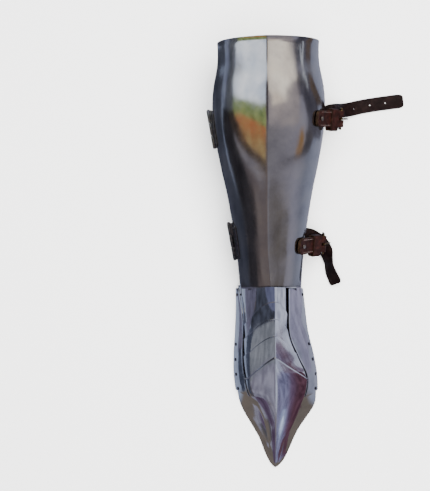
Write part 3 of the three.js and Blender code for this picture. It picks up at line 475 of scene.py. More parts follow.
def tube_piece(name, centres, widths, radii, loop=False, sides=12, power=2.0, materials=()):
    """A bar along a line of points, with a round or squarish section. widths is one side direction
    of the section at each point, and radii its half sizes there, along that side and across it."""
    count = len(centres)
    centres = np.asarray(centres, float)
    ahead = np.roll(centres, -1, 0) if loop else np.vstack([centres[1:], centres[-1:]])
    behind = np.roll(centres, 1, 0) if loop else np.vstack([centres[:1], centres[:-1]])
    forward = unit(ahead - behind)
    across = unit(widths - forward * np.sum(widths * forward, -1, keepdims=True))
    other = np.cross(forward, across)
    bm = bmesh.new()
    rings = []
    for i in range(count):
        ring = []
        for k in range(sides):
            a = 2 * math.pi * (k + 0.5) / sides
            c, s = math.cos(a), math.sin(a)
            grow = (abs(c) ** power + abs(s) ** power) ** (-1 / power)
            offset = across[i] * (radii[i][0] * grow * c) + other[i] * (radii[i][1] * grow * s)
            ring.append(bm.verts.new(centres[i] + offset))
        rings.append(ring)
    for i in range(count if loop else count - 1):
        a, b = rings[i], rings[(i + 1) % count]
        for k in range(sides):
            m = (k + 1) % sides
            bm.faces.new([a[k], a[m], b[m], b[k]])
    if not loop:
        bm.faces.new(rings[0][::-1])
        bm.faces.new(rings[-1])
    return finish_mesh(name, bm, materials=materials)


def turned_piece(name, profile, origin, x, z, sides=28, materials=()):
    """A turned piece from (radius, height) pairs down one side, standing along z."""
    x, z = unit(x), unit(z)
    y = np.cross(z, x)
    bm = bmesh.new()
    rings = []
    for radius, height in profile:
        middle = origin + z * height
        if radius < 1e-6:
            rings.append([bm.verts.new(middle)])
            continue
        angles = [2 * math.pi * k / sides for k in range(sides)]
        rings.append(
            [bm.verts.new(middle + radius * (x * math.cos(a) + y * math.sin(a))) for a in angles]
        )
    for a, b in zip(rings, rings[1:]):
        for k in range(sides):
            m = (k + 1) % sides
            corners = [a[k % len(a)], a[m % len(a)], b[m % len(b)], b[k % len(b)]]
            bm.faces.new(list(dict.fromkeys(corners)))
    return finish_mesh(name, bm, materials=materials)


def joined(name, pieces):
    """Several made pieces as one object."""
    bpy.ops.object.select_all(action="DESELECT")
    for piece in pieces:
        piece.select_set(True)
    bpy.context.view_layer.objects.active = pieces[0]
    bpy.ops.object.join()
    pieces[0].name = name
    return pieces[0]


def settle(piece, body, slot, *nodes):
    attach(piece, body)
    if nodes:
        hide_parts(*nodes)
    return piece


# Finishes


def colour(hex_value):
    """An sRGB hex value as a linear colour."""
    channels = [(hex_value >> shift & 255) / 255 for shift in (16, 8, 0)]
    linear = [c / 12.92 if c <= 0.04045 else ((c + 0.055) / 1.055) ** 2.4 for c in channels]
    return (*linear, 1.0)


def add(tree, kind, settings=None, links=None):
    """Adds a node. settings are its properties, the values of its sockets under 'inputs', and the
    colours of a ramp under 'stops'. links join its sockets to the outputs of other nodes."""
    node = tree.nodes.new(kind)
    for key, value in (settings or {}).items():
        if key == "inputs":
            for socket, number in value.items():
                node.inputs[socket].default_value = number
        elif key == "stops":
            ramp = node.color_ramp.elements
            while len(ramp) < len(value):
                ramp.new(0.5)
            for stop, (place, shade) in zip(ramp, value):
                stop.position = place
                stop.color = colour(shade)
        else:
            setattr(node, key, value)
    for socket, source in (links or {}).items():
        tree.links.new(source, node.inputs[socket])
    return node.outputs


def new_finish(name):
    """An empty material, and the place on the object, in metres, that its patterns follow."""
    material = bpy.data.materials.new(name)
    material.use_nodes = True
    material.node_tree.nodes.clear()
    place = add(material.node_tree, "ShaderNodeTexCoord")["Object"]
    return material, material.node_tree, place


def polished_steel(name, shades, rough, cloud_size, scratch_height, planish_height):
    """Mild steel sheet, raised cold and polished: a grey mirror, clouded where the hand has been,
    with fine scratches along the work and very low planishing marks that make reflections swim."""
    material, tree, place = new_finish(name)
    clouds = add(tree, "ShaderNodeTexNoise", {"inputs": {
        "Scale": 1 / (cloud_size * MM), "Detail": 5, "Roughness": 0.6,
    }}, {"Vector": place})["Fac"]
    stops = list(zip((0.3, 0.5, 0.72), shades))
    tone = add(tree, "ShaderNodeValToRGB", {"stops": stops}, {"Fac": clouds})
    # Polishing lines are 0.1 to 0.3 mm apart; they are drawn 0.7 mm apart, and 28 mm long, to show
    line_scale = {"inputs": {"Scale": (1 / (0.7 * MM), 36, 1 / (0.7 * MM))}}
    along = add(tree, "ShaderNodeMapping", line_scale, {"Vector": place})["Vector"]
    line_noise = {"inputs": {"Scale": 1, "Detail": 3, "Roughness": 0.6}}
    lines = add(tree, "ShaderNodeTexNoise", line_noise, {"Vector": along})["Fac"]
    # Smears from wiping are 16 mm wide and 40 mm long
    smear_scale = {"inputs": {"Scale": (62, 25, 62)}}
    smeared = add(tree, "ShaderNodeMapping", smear_scale, {"Vector": place})["Vector"]
    smear_noise = {"inputs": {"Scale": 1, "Detail": 4, "Roughness": 0.6}}
    smears = add(tree, "ShaderNodeTexNoise", smear_noise, {"Vector": smeared})["Fac"]
    dull = add(tree, "ShaderNodeMath", {"operation": "MULTIPLY"}, {0: lines, 1: smears})[0]
    roughness = add(tree, "ShaderNodeMapRange", {"inputs": {
        "From Min": 0.12, "From Max": 0.42, "To Min": rough[0], "To Max": rough[1],
    }}, {"Value": dull})["Result"]
    planish = add(tree, "ShaderNodeTexNoise", {"inputs": {
        "Scale": 1 / (17 * MM), "Detail": 1.5, "Roughness": 0.4,
    }}, {"Vector": place})["Fac"]
    beaten_face = add(tree, "ShaderNodeBump", {"inputs": {"Distance": planish_height * MM}},
                      {"Height": planish})
    scratched = add(tree, "ShaderNodeBump", {"inputs": {"Distance": scratch_height * MM}},
                    {"Height": lines, "Normal": beaten_face[0]})
    shader = add(tree, "ShaderNodeBsdfPrincipled", {"inputs": {"Metallic": 1.0}},
                 {"Base Color": tone["Color"], "Roughness": roughness, "Normal": scratched[0]})
    add(tree, "ShaderNodeOutputMaterial", links={"Surface": shader[0]})
    return material


def worn_metal(name, stops, rough, mottle, grain):
    """A metal whose tone and gloss follow one mottling, over a fine grain. mottle is its size in
    millimetres and how many finer layers it has, and grain the grain's size and depth."""
    material, tree, place = new_finish(name)
    mottling = add(tree, "ShaderNodeTexNoise", {"inputs": {
        "Scale": 1 / (mottle[0] * MM), "Detail": mottle[1], "Roughness": 0.65,
    }}, {"Vector": place})["Fac"]
    tone = add(tree, "ShaderNodeValToRGB", {"stops": stops}, {"Fac": mottling})["Color"]
    roughness = add(tree, "ShaderNodeMapRange", {"inputs": {
        "From Min": 0.3, "From Max": 0.7, "To Min": rough[0], "To Max": rough[1],
    }}, {"Value": mottling})["Result"]
    fine = {"inputs": {"Scale": 1 / (grain[0] * MM), "Detail": 4}}
    grains = add(tree, "ShaderNodeTexNoise", fine, {"Vector": place})["Fac"]
    grained = add(tree, "ShaderNodeBump", {"inputs": {"Distance": grain[1] * MM}},
                  {"Height": grains})[0]
    shader = add(tree, "ShaderNodeBsdfPrincipled", {"inputs": {"Metallic": 1.0}},
                 {"Base Color": tone, "Roughness": roughness, "Normal": grained})
    add(tree, "ShaderNodeOutputMaterial", links={"Surface": shader[0]})
    return material


def dark_steel(name, shades, rough):
    """Steel left as it was forged and wiped with oil: grey, mottled, and duller where the mottling
    is darker.
    """
    stops = list(zip((0.3, 0.52, 0.75), shades))
    return worn_metal(name, stops, rough, mottle=(3.5, 6), grain=(0.9, 0.03))


def aged_brass(name):
    """Cast brass, once polished and now brown with handling, mottled brighter and glossier in
    places.
    """
    stops = ((0.32, 0x2C2118), (0.5, 0x625033), (0.72, 0xA58C60))
    return worn_metal(name, stops, (0.42, 0.24), mottle=(3, 5), grain=(1.1, 0.025))


def waxed_leather(name, shades, rough, crease_height):
    """Vegetable tanned cowhide, dyed and waxed: fine pores, a soft wax sheen, and a dye whose tone
    changes at random, from nearly black to a lighter brown."""
    material, tree, place = new_finish(name)
    dye = add(tree, "ShaderNodeTexNoise", {"inputs": {
        "Scale": 1 / (7 * MM), "Detail": 6, "Roughness": 0.68,
    }}, {"Vector": place})["Fac"]
    stops = list(zip((0.28, 0.5, 0.78), shades))
    tone = add(tree, "ShaderNodeValToRGB", {"stops": stops}, {"Fac": dye})
    roughness = add(tree, "ShaderNodeMapRange", {"inputs": {
        "From Min": 0.3, "From Max": 0.7, "To Min": rough[0], "To Max": rough[1],
    }}, {"Value": dye})["Result"]
    # Creases run across the leg, 4 mm long and 1.4 mm apart
    crease_scale = {"inputs": {"Scale": (250, 700, 250)}}
    squeezed = add(tree, "ShaderNodeMapping", crease_scale, {"Vector": place})["Vector"]
    crease_noise = {"inputs": {"Scale": 1, "Detail": 5, "Roughness": 0.62}}
    creases = add(tree, "ShaderNodeTexNoise", crease_noise, {"Vector": squeezed})["Fac"]
    creased = add(tree, "ShaderNodeBump", {"inputs": {"Distance": crease_height * MM}},
                  {"Height": creases})[0]
    # Hair pores and the cells between them are 0.2 to 0.4 mm wide; drawn at 0.9 mm to show
    cells = add(tree, "ShaderNodeTexVoronoi", {
        "feature": "DISTANCE_TO_EDGE", "inputs": {"Scale": 1 / (0.9 * MM)},
    }, {"Vector": place})["Distance"]
    pored = add(tree, "ShaderNodeBump", {"inputs": {"Strength": 0.6, "Distance": 0.1 * MM}},
                {"Height": cells, "Normal": creased})[0]
    shader = add(tree, "ShaderNodeBsdfPrincipled", {"inputs": {
        "IOR": 1.46, "Specular IOR Level": 0.2, "Coat Weight": 0.03, "Coat Roughness": 0.3,
    }}, {"Base Color": tone["Color"], "Roughness": roughness, "Normal": pored})
    add(tree, "ShaderNodeOutputMaterial", links={"Surface": shader[0]})
    return material


def waxed_thread(name):
    """Linen thread of 0.8 mm, waxed: a twist every 1.2 mm."""
    material, tree, place = new_finish(name)
    twist = add(tree, "ShaderNodeTexWave", {
        "wave_type": "BANDS", "bands_direction": "DIAGONAL", "inputs": {"Scale": 250.0},
    }, {"Vector": place})["Fac"]
    stops = ((0.2, 0x140B08), (0.8, 0x33201A))
    tone = add(tree, "ShaderNodeValToRGB", {"stops": stops}, {"Fac": twist})["Color"]
    twisted = add(tree, "ShaderNodeBump", {"inputs": {"Distance": 0.15 * MM}}, {"Height": twist})[0]
    wax = {"inputs": {"Roughness": 0.6, "Sheen Weight": 0.25}}
    shader = add(tree, "ShaderNodeBsdfPrincipled", wax, {"Base Color": tone, "Normal": twisted})
    add(tree, "ShaderNodeOutputMaterial", links={"Surface": shader[0]})
    return material


def paper_floor(name):
    """Matt white card with a trace of fibre."""
    material, tree, place = new_finish(name)
    fibre = add(tree, "ShaderNodeTexNoise", {"inputs": {
        "Scale": 1 / (2.5 * MM), "Detail": 4, "Roughness": 0.6,
    }}, {"Vector": place})["Fac"]
    stops = ((0.3, 0xFAFAF9), (0.7, 0xFEFEFD))
    tone = add(tree, "ShaderNodeValToRGB", {"stops": stops}, {"Fac": fibre})["Color"]
    matt = {"inputs": {"Roughness": 0.95, "Specular IOR Level": 0.1}}
    shader = add(tree, "ShaderNodeBsdfPrincipled", matt, {"Base Color": tone})
    add(tree, "ShaderNodeOutputMaterial", links={"Surface": shader[0]})
    return material


satin_steel = polished_steel(
    "satin polished mild steel", (0xA8A9AE, 0xB8B9BC, 0xC4C3C1), (0.11, 0.24), 42, 0.012, 0.1
)
mirror_steel = polished_steel(
    "mirror polished mild steel", (0xB8BAC0, 0xC8CACF, 0xD2D3D6), (0.04, 0.12), 26, 0.004, 0.05
)
hinge_steel = dark_steel("oiled forged steel", (0x66666C, 0x7C7C82, 0x98969C), (0.5, 0.3))
rivet_steel = dark_steel("worn rivet steel", (0x3A3A40, 0x66666E, 0x8E8E96), (0.42, 0.24))
strap_rivet_steel = dark_steel(
    "rubbed strap rivet steel", (0x6A665F, 0xA8A49C, 0xDAD6CE), (0.34, 0.18)
)
buckle_brass = aged_brass("aged cast brass")
chape_leather = waxed_leather(
    "red brown waxed cowhide", (0x080303, 0x190A08, 0x301613), (0.6, 0.4), 0.22
)
strap_leather = waxed_leather(
    "dark brown waxed cowhide", (0x050202, 0x0C0505, 0x1B0F0D), (0.64, 0.44), 0.22
)
cut_leather = waxed_leather(
    "cut edge of cowhide", (0x0C0705, 0x1A110B, 0x2E2115), (0.75, 0.55), 0.15
)
stitch_thread = waxed_thread("waxed linen thread")


# Greave shells


def beaten(points, normals, height, length, seed):
    """Moves points a little in or out: sheet raised by hammer over a stake is never quite even."""
    flat = points.reshape(-1, 3)
    shift = np.array([noise.noise(Vector(p / length) + Vector((seed, 0, 0))) for p in flat])
    return points + normals * (shift * height).reshape(points.shape[:2])[..., None]


def grid_normals(points, facing):
    down = np.gradient(points, axis=0)
    across = np.gradient(points, axis=1)
    return unit(np.cross(across, down)) * facing


hammer_depth = 0.32
hammer_length = 46


def shell_piece(name, surface, angles, lower_edge, upper_edge, facing, seed):
    # The rows are closer at the knee, where the rim turns out
    shares = np.concatenate([np.linspace(0, 0.955, 116), np.linspace(0.96, 1, 16)])
    low = np.broadcast_to(lower_edge(angles), angles.shape)
    high = np.broadcast_to(upper_edge(angles), angles.shape)
    y = mix(low[None, :], high[None, :], shares[:, None])
    points = surface(y, np.broadcast_to(angles, y.shape))
    normals = grid_normals(points, facing)
    points = beaten(points, normals, hammer_depth, hammer_length, seed)
    inner = points - normals * sheet
    return sheet_piece(name, on_object(points), on_object(inner), 0.4, 3, materials=[satin_steel])


def greave_shells():
    crest = np.array([0, 0.3, 0.6, 1, 1.5, 2.2, 3])
    flank = np.concatenate([crest, np.linspace(3, 90, 56)[1:]])
    shin_angles = np.concatenate([-flank[:0:-1], flank])
    shin = shell_piece(
        "greave_shin_shell", shin_surface, shin_angles, shin_cut_edge, shin_upper_edge, 1, 3
    )
    settle(shin, "shin", "greave_steel", "shin_shell")
    calf = shell_piece(
        "greave_calf_shell", calf_surface, np.linspace(-90, 90, 97), lambda a: 0 * a,
        calf_upper_edge, -1, 11,
    )
    settle(calf, "calf", "greave_steel", "calf_shell")


# Rivets


def rivet_piece(node, centre, x, normal, size, body, slot, material):
    """A domed rivet in the place of its CAD node, whose height along the normal it keeps."""
    corners = np.array([v.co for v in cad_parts[node].data.vertices], float) / MM
    heights = (corners - centre) @ unit(normal)
    low, high = heights.min(), heights.max()
    head, rise, shank = size["head"], size["rise"], size["shank"]
    seat = high - rise
    foot = low + rise * 0.5
    dome = [
        (head * math.cos(a), seat + 0.25 + (rise - 0.25) * math.sin(a))
        for a in np.radians(np.linspace(0, 78, 8))
    ]
    profile = [
        (0, low), (head * 0.5, low), (head * 0.76, low + 0.25), (head * 0.8, foot), (shank, foot),
        (shank, seat - gap), (head * 0.97, seat - gap), (head, seat - gap + 0.2), *dome, (0, high),
    ]
    rivet = turned_piece(f"{node}_dome", profile, np.asarray(centre), x, normal, 24, [material])
    return settle(rivet, body, slot, node)


# Hinges


def seam_x(y):
    return -float(greave_size(y)["half"])


def hinge_centre(place):
    y = hinge_at[place] * greave_length
    return np.array([seam_x(y) - barrel_standoff[place], y, 0.0])


hinge_axis = unit(hinge_centre("upper") - hinge_centre("lower"))
hinge_side = np.array([hinge_axis[1], -hinge_axis[0], 0.0])


def leaf_point(side, y, distance):
    """A place on a shell, by its distance round from the hinge seam, and the way out there."""
    size = greave_size(y)
    radius = float(size["front"] * (1 - size["keel"]) if side == "shin" else size["back"])
    at = shin_frame if side == "shin" else calf_frame
    point, around, _, normal = at(y, -90 + math.degrees(distance / radius))
    return point, around, normal


leaf_start = 2.6  # how far from the seam the flat of a leaf begins
leaf_swell = 0.75  # how much thicker it is there, as a share of its sheet
leaf_swell_length = 3


def leaf_strip(name, place, side):
    """The flat of a hinge leaf, with rounded corners, close over the shell."""
    centre = hinge_centre(place)
    distances = np.concatenate([[leaf_start, 3.4, 4.4], np.linspace(6, leaf_width, 9)])
    corner = 4.0
    end = hinge_length / 2 - leaf_inset
    outer, inner = [], []
    for share in np.linspace(-1, 1, 33):
        row_out, row_in = [], []
        for distance in distances:
            near = max(0.0, corner - (leaf_width - distance))
            reach = end - (corner - math.sqrt(max(corner**2 - near**2, 0)))
            point, _, normal = leaf_point(side, centre[1] + share * reach * hinge_axis[1], distance)
            swell = max(0.0, 1 - (distance - leaf_start) / leaf_swell_length) ** 2
            lift = gap + leaf_sheet * (1 + leaf_swell * swell)
            row_out.append(point + normal * lift)
            row_in.append(point + normal * gap)
        outer.append(row_out)
        inner.append(row_in)
    outer, inner = on_object(outer), on_object(inner)
    return sheet_piece(name, outer, inner, 0.3, 2, materials=[hinge_steel])


def knuckle_piece(name, place, side, start, end):
    """One knuckle: the barrel and the neck that brings the leaf round it."""
    centre = hinge_centre(place)
    sign = 1 if side == "shin" else -1
    bm = bmesh.new()
    rings = []
    ease = 0.35
    stations = [(start, 0.88), (start + ease * 0.5, 0.97), (start + ease, 1.0)]
    stations += [(mix(start + ease, end - ease, t), 1.0) for t in (0.33, 0.67)]
    stations += [(end - ease, 1.0), (end - ease * 0.5, 0.97), (end, 0.88)]
    turns = np.linspace(math.radians(-62), math.radians(238), 26)
    neck_lift = gap + (1 + leaf_swell) * leaf_sheet
    for along, grow in stations:
        middle = centre + hinge_axis * along
        ring = []
        for a in turns:
            # 0 points from the barrel towards the leaf's own side
            direction = np.array([0, 0, sign]) * math.cos(a) - hinge_side * math.sin(a)
            ring.append(middle + direction * barrel_radius * grow)
        for distance, lift in ((0.6, gap), (2.0, gap), (3.6, gap), (3.6, neck_lift)):
            point, _, normal = leaf_point(side, middle[1], distance)
            ring.append(point + normal * lift)
        rings.append([bm.verts.new(on_object(p)) for p in ring])
    for a, b in zip(rings, rings[1:]):
        for k in range(len(a)):
            m = (k + 1) % len(a)
            bm.faces.new([a[k], a[m], b[m], b[k]])
    bm.faces.new(rings[0][::-1])
    bm.faces.new(rings[-1])
    return finish_mesh(name, bm, materials=[hinge_steel])


def hinge_pieces(place):
    centre = hinge_centre(place)
    half = hinge_length / 2
    knuckle = (hinge_length - 2 * knuckle_gap) / 3
    spans = {
        "shin": [(-half, -half + knuckle), (half - knuckle, half)],
        "calf": [(-knuckle / 2, knuckle / 2)],
    }
    for side in ("shin", "calf"):
        name = f"{place}_hinge_{side}_leaf"
        parts = [leaf_strip(f"{name}_flat", place, side)]
        for start, end in spans[side]:
            parts.append(knuckle_piece(f"{name}_knuckle", place, side, start, end))
        settle(joined(f"{name}_forged", parts), side, "hinge_steel", name)
        for word, way in (("upper", 1), ("lower", -1)):
            y = centre[1] + way * (half - knuckle * 0.4)
            point, around, normal = leaf_point(side, y, leaf_width * 0.64)
            node = f"{place}_hinge_{side}_rivet_{word}"
            rivet_piece(
                node, on_object(point), leg_turned @ around, leg_turned @ normal, leaf_rivet, side,
                "rivet_steel", rivet_steel,
            )
    head = half + gap
    profile = [
        (0, -head - 1), (1.3, -head - 0.9), (1.9, -head - 0.5), (2.0, -head), (pin_radius, -head),
        (pin_radius, head), (2.0, head), (1.9, head + 0.5), (1.3, head + 0.9), (0, head + 1),
    ]
    name = f"{place}_hinge_pin"
    pin = turned_piece(
        f"{name}_peened", profile, on_object(centre), leg_turned @ hinge_side,
        leg_turned @ hinge_axis, 20, [hinge_steel],
    )
    settle(pin, "calf", "hinge_steel", name)


# Chapes, keepers, buckles and prongs

bend_radius = chape_reach / math.radians(chape_bend)
chape_middle = leather_lift + chape_thick / 2


def chape_path(distance):
    """The middle of the chape in its own frame: x out along it, z off the shell, and its turn."""
    turn = max(distance, 0) / bend_radius
    x = distance if distance < 0 else bend_radius * math.sin(turn)
    return x, chape_middle + bend_radius * (1 - math.cos(turn)), turn


def chape_frame(place):
    share, angle = chape_places[place]
    point, around, _, normal = shin_frame(share * greave_length, angle)
    x = leg_turned @ around
    z = leg_turned @ normal
    return on_object(point), x, np.cross(z, x), z


stitch_pitch = 3.6
stitch_length = 2.5
stitch_inset = 2.6


def chape_piece(place):
    """One strip of leather folded round the buckle's bar, its two ends riveted to the shell."""
    origin, x_axis, y_axis, z_axis = chape_frame(place)
    spacing = chape_thick / 4 + 0.03
    eye_ring = bar_radius + gap + chape_layer / 2
    straight = np.concatenate([np.linspace(-chape_tail, -2, 12), np.linspace(0, chape_reach, 34)])

    def centre_at(distance, way):
        x, z, turn = chape_path(distance)
        open_up = float(smoothstep(distance, chape_reach - 10, chape_reach))
        offset = mix(spacing, eye_ring, open_up) * way
        return (x - offset * math.sin(turn), z + offset * math.cos(turn))

    eye_x, eye_z, eye_turn = chape_path(chape_reach)
    line = [(centre_at(d, -1), d) for d in straight]
    for a in np.linspace(-90, 90, 14)[1:-1]:
        b = math.radians(a) + eye_turn
        over_bar = (eye_x + eye_ring * math.cos(b), eye_z + eye_ring * math.sin(b))
        line.append((over_bar, chape_reach + 1))
    line += [(centre_at(d, 1), d) for d in straight[::-1]]
    points = np.array([p for p, _ in line])
    tangent = unit(np.gradient(points, axis=0))
    out = np.stack([tangent[:, 1], -tangent[:, 0]], -1)
    # The middle columns are as wide as the slot for the prong
    slot_half = prong_radius * 1.35 + 0.5
    shares = np.array([-1, -0.97, -0.9, -0.8, -0.6, -0.4, -0.25])
    columns = np.concatenate([shares * chape_width / 2, [-slot_half, 0, slot_half],
                              -shares[::-1] * chape_width / 2])
    corner = chape_width * 0.36
    outer = np.zeros((len(line), len(columns), 3))
    inner = np.zeros_like(outer)
    seed = 3.0 if place == "upper" else 8.0
    for r, (_, distance) in enumerate(line):
        into = max(0.0, corner - (distance + chape_tail))
        narrow = 1 - (corner - math.sqrt(max(corner**2 - into**2, 0))) / (chape_width / 2)
        for c, column in enumerate(columns):
            y = column * narrow
            wear = 0.1 * noise.noise(Vector((distance / 9, y / 7, seed)))
            for grid, lift in ((outer, chape_layer / 2 + wear), (inner, -chape_layer / 2)):
                px, pz = points[r] + out[r] * lift
                grid[r, c] = origin + x_axis * px + y_axis * y + z_axis * pz
    keep = np.ones((len(line) - 1, len(columns) - 1), bool)
    for r in range(len(line) - 1):
        if min(line[r][1], line[r + 1][1]) > chape_reach - 6:
            keep[r, 7:9] = False
    materials = [chape_leather, cut_leather]
    chape = sheet_piece(f"{place}_chape_leather", outer, inner, 0.55, 3, keep, materials=materials)
    settle(chape, "shin", "chape_leather", f"{place}_chape")

    stitches = []
    for edge in (-1, 1):
        for distance in np.arange(-1.5, chape_reach - 12, stitch_pitch):
            y = edge * (chape_width / 2 - stitch_inset)
            ends = []
            for t, rise in ((0, -0.35), (0.12, 0.1), (0.5, 0.26), (0.88, 0.1), (1, -0.35)):
                x, z, turn = chape_path(distance + stitch_length * t)
                lift = chape_thick / 2 + 0.05 + rise
                ends.append(origin + x_axis * (x - lift * math.sin(turn)) + y_axis * y
                            + z_axis * (z + lift * math.cos(turn)))
            radii = [(0.25, 0.2), (0.42, 0.34), (0.45, 0.36), (0.42, 0.34), (0.25, 0.2)]
            widths = np.repeat([y_axis], 5, 0)
            stitches.append(
                tube_piece("stitch", ends, widths, radii, sides=8, materials=[stitch_thread])
            )
    thread = joined(f"{place}_chape_stitching", stitches)
    settle(thread, "shin", "chape_leather")


def keeper_piece(place):
    """A band of leather sewn into a loop round the chape, loose on it."""
    origin, x_axis, y_axis, z_axis = chape_frame(place)
    x, z, turn = chape_path(chape_reach * keeper_at)
    along = x_axis * math.cos(turn) + z_axis * math.sin(turn)
    out = -x_axis * math.sin(turn) + z_axis * math.cos(turn)
    high = chape_thick + strap_thick + 3 * gap
    slack = 4
    wide = chape_width + slack
    middle = origin + x_axis * x + z_axis * z
    middle = middle + y_axis * (gap - slack / 2) - out * (high / 2 - chape_thick / 2 - gap)

    def ring(grow, corner):
        flat_y, flat_z = wide / 2 + grow - corner, high / 2 + grow - corner
        ways = ((1, 1), (-1, 1), (-1, -1), (1, -1))
        points = []
        for i, (way_y, way_z) in enumerate(ways):
            for a in np.linspace(0, 90, 7):
                b = math.radians(a + 90 * i)
                points.append((way_y * flat_y + corner * math.cos(b),
                               way_z * flat_z + corner * math.sin(b)))
            y0, z0 = points[-1]
            next_y, next_z = ways[(i + 1) % 4]
            y1, z1 = (y0, next_z * flat_z) if i % 2 else (next_y * flat_y, z0)
            for t in (0.25, 0.5, 0.75):
                points.append((mix(y0, y1, t), mix(z0, z1, t)))
        return np.array(points)

    inside, outside = ring(0, 1.2), ring(keeper_thick, 3.2)
    half_columns = np.array([0.2, 0.33, 0.43, 0.48, 0.5])
    columns = keeper_width * np.concatenate([-half_columns[::-1], [0], half_columns])

    def grid(line):
        points = middle + y_axis * line[:, :1] + out * line[:, 1:]
        return points[:, None] + along * columns[:, None]

    materials = [chape_leather, cut_leather]
    keeper = sheet_piece(
        f"{place}_keeper_band", grid(outside), grid(inside), 0.55, 3, loop=True, materials=materials
    )
    settle(keeper, "shin", "chape_leather", f"{place}_keeper")


def buckle_frame(place):
    """The buckle hangs straight down from the chape's eye: its centre, fall, bar and face."""
    origin, x_axis, _, z_axis = chape_frame(place)
    x, z, _ = chape_path(chape_reach)
    share, angle = chape_places[place]
    _, around, _, normal = shin_frame(share * greave_length, angle)
    bar = leg_turned @ np.cross(normal, around)
    down = np.array([0, 0, -1.0])
    fall = unit(down - bar * down.dot(bar))
    return origin + x_axis * x + z_axis * z, fall, bar, np.cross(fall, bar)


def buckle_piece(place):
    centre, fall, bar, face = buckle_frame(place)
    inside = chape_width / 2 + 1
    wire = buckle_wire / 2
    side, far, near, corner = inside + wire, buckle_length - wire, -wire * 0.2, 4.0
    line = [(near, -side), (mix(near, far, 0.3), -side), (mix(near, far, 0.6), -side)]
    for a in np.radians(np.linspace(-90, 0, 7)):
        line.append((far - corner + corner * math.cos(a), -side + corner + corner * math.sin(a)))
    line += [(far, -side * 0.4), (far, 0), (far, side * 0.4)]
    for a in np.radians(np.linspace(0, 90, 7)):
        line.append((far - corner + corner * math.cos(a), side - corner + corner * math.sin(a)))
    line += [(mix(near, far, 0.6), side), (mix(near, far, 0.3), side), (near, side)]
    line = [(near - 1.5, -side), *line, (near - 1.5, side)]
    centres = [centre + fall * p + bar * q for p, q in line]
    # The hoop's two ends, behind the bar, are thinner
    radii = [(wire, wire)] * len(line)
    radii[0] = radii[-1] = (wire * 0.75, wire * 0.75)
    hoop = tube_piece(
        "hoop", centres, np.repeat([face], len(line), 0), radii, sides=16, power=3.2,
        materials=[buckle_brass],
    )
    length = inside + 1.2
    rod_ends = [centre + bar * t for t in np.linspace(-length, length, 9)]
    rod_radii = [(bar_radius, bar_radius)] * 9
    rod = tube_piece("bar", rod_ends, np.repeat([fall], 9, 0), rod_radii, materials=[buckle_brass])
    buckle = joined(f"{place}_buckle_cast", [hoop, rod])
    settle(buckle, f"{place}_buckle_frame", "buckle_brass", f"{place}_buckle")


def prong_piece(place):
    centre, fall, bar, face = buckle_frame(place)
    turn = Matrix.Rotation(-math.radians(prong_lean), 3, Vector(bar))
    ahead = np.array(turn @ Vector(fall))
    out = np.array(turn @ Vector(face))
    ring = bar_radius + gap + 0.75
    lie = buckle_wire / 2 + gap
    reach = buckle_length + 2.5
    # The eye round the bar, the prong and its tip: ahead, out, half thickness and half width
    line = [(math.cos(a) * ring, math.sin(a) * ring, 0.72, 1.35)
            for a in np.radians(np.linspace(-70, -330, 22))]
    for t in np.linspace(0.08, 0.86, 9):
        rise = mix(ring * 0.62, lie + 1.0, smoothstep(t, 0, 0.5))
        line.append((mix(ring, reach, t), rise, mix(1.05, 0.9, t), mix(1.4, 1.05, t)))
    line += [(reach - 1.0, lie + 0.9, 0.62, 0.8), (reach, lie + 0.8, 0.25, 0.35)]
    centres = [centre + ahead * p + out * q for p, q, _, _ in line]
    radii = [(wide, thin) for _, _, thin, wide in line]
    widths = np.repeat([bar], len(line), 0)
    prong = tube_piece(
        f"{place}_prong_drawn", centres, widths, radii, sides=14, power=2.4,
        materials=[buckle_brass],
    )
    settle(prong, f"{place}_buckle_prong", "buckle_brass", f"{place}_prong")


def chape_rivet(place):
    origin, x_axis, _, z_axis = chape_frame(place)
    node = f"{place}_chape_rivet"
    rivet_piece(node, origin, x_axis, z_axis, strap_rivet, "shin", "rivet_steel", strap_rivet_steel)


# Loose straps


def centripetal(points, count):
    """Points, directions and places on a smooth curve through the points of a route."""
    last = len(points) - 1
    ends = [2 * points[0] - points[1], *points, 2 * points[last] - points[last - 1]]
    found = []
    for t in np.linspace(0, 1, count):
        place = t * last
        i = min(int(place), last - 1)
        w = place - i
        p0, p1, p2, p3 = ends[i : i + 4]
        d0, d1, d2 = [math.sqrt(np.linalg.norm(b - a)) for a, b in ((p0, p1), (p1, p2), (p2, p3))]
        m1 = ((p1 - p0) / d0 - (p2 - p0) / (d0 + d1) + (p2 - p1) / d1) * d1
        m2 = ((p2 - p1) / d1 - (p3 - p1) / (d1 + d2) + (p3 - p2) / d2) * d1
        a = -3 * p1 + 3 * p2 - 2 * m1 - m2
        b = 2 * p1 - 2 * p2 + m1 + m2
        point = p1 + m1 * w + a * w**2 + b * w**3
        found.append((point, unit(m1 + 2 * a * w + 3 * b * w**2), place))
    return found


groove_at = 0.8  # share of the strap's half width where a creasing line runs along it
groove_depth = 0.28
crown_height = 0.22


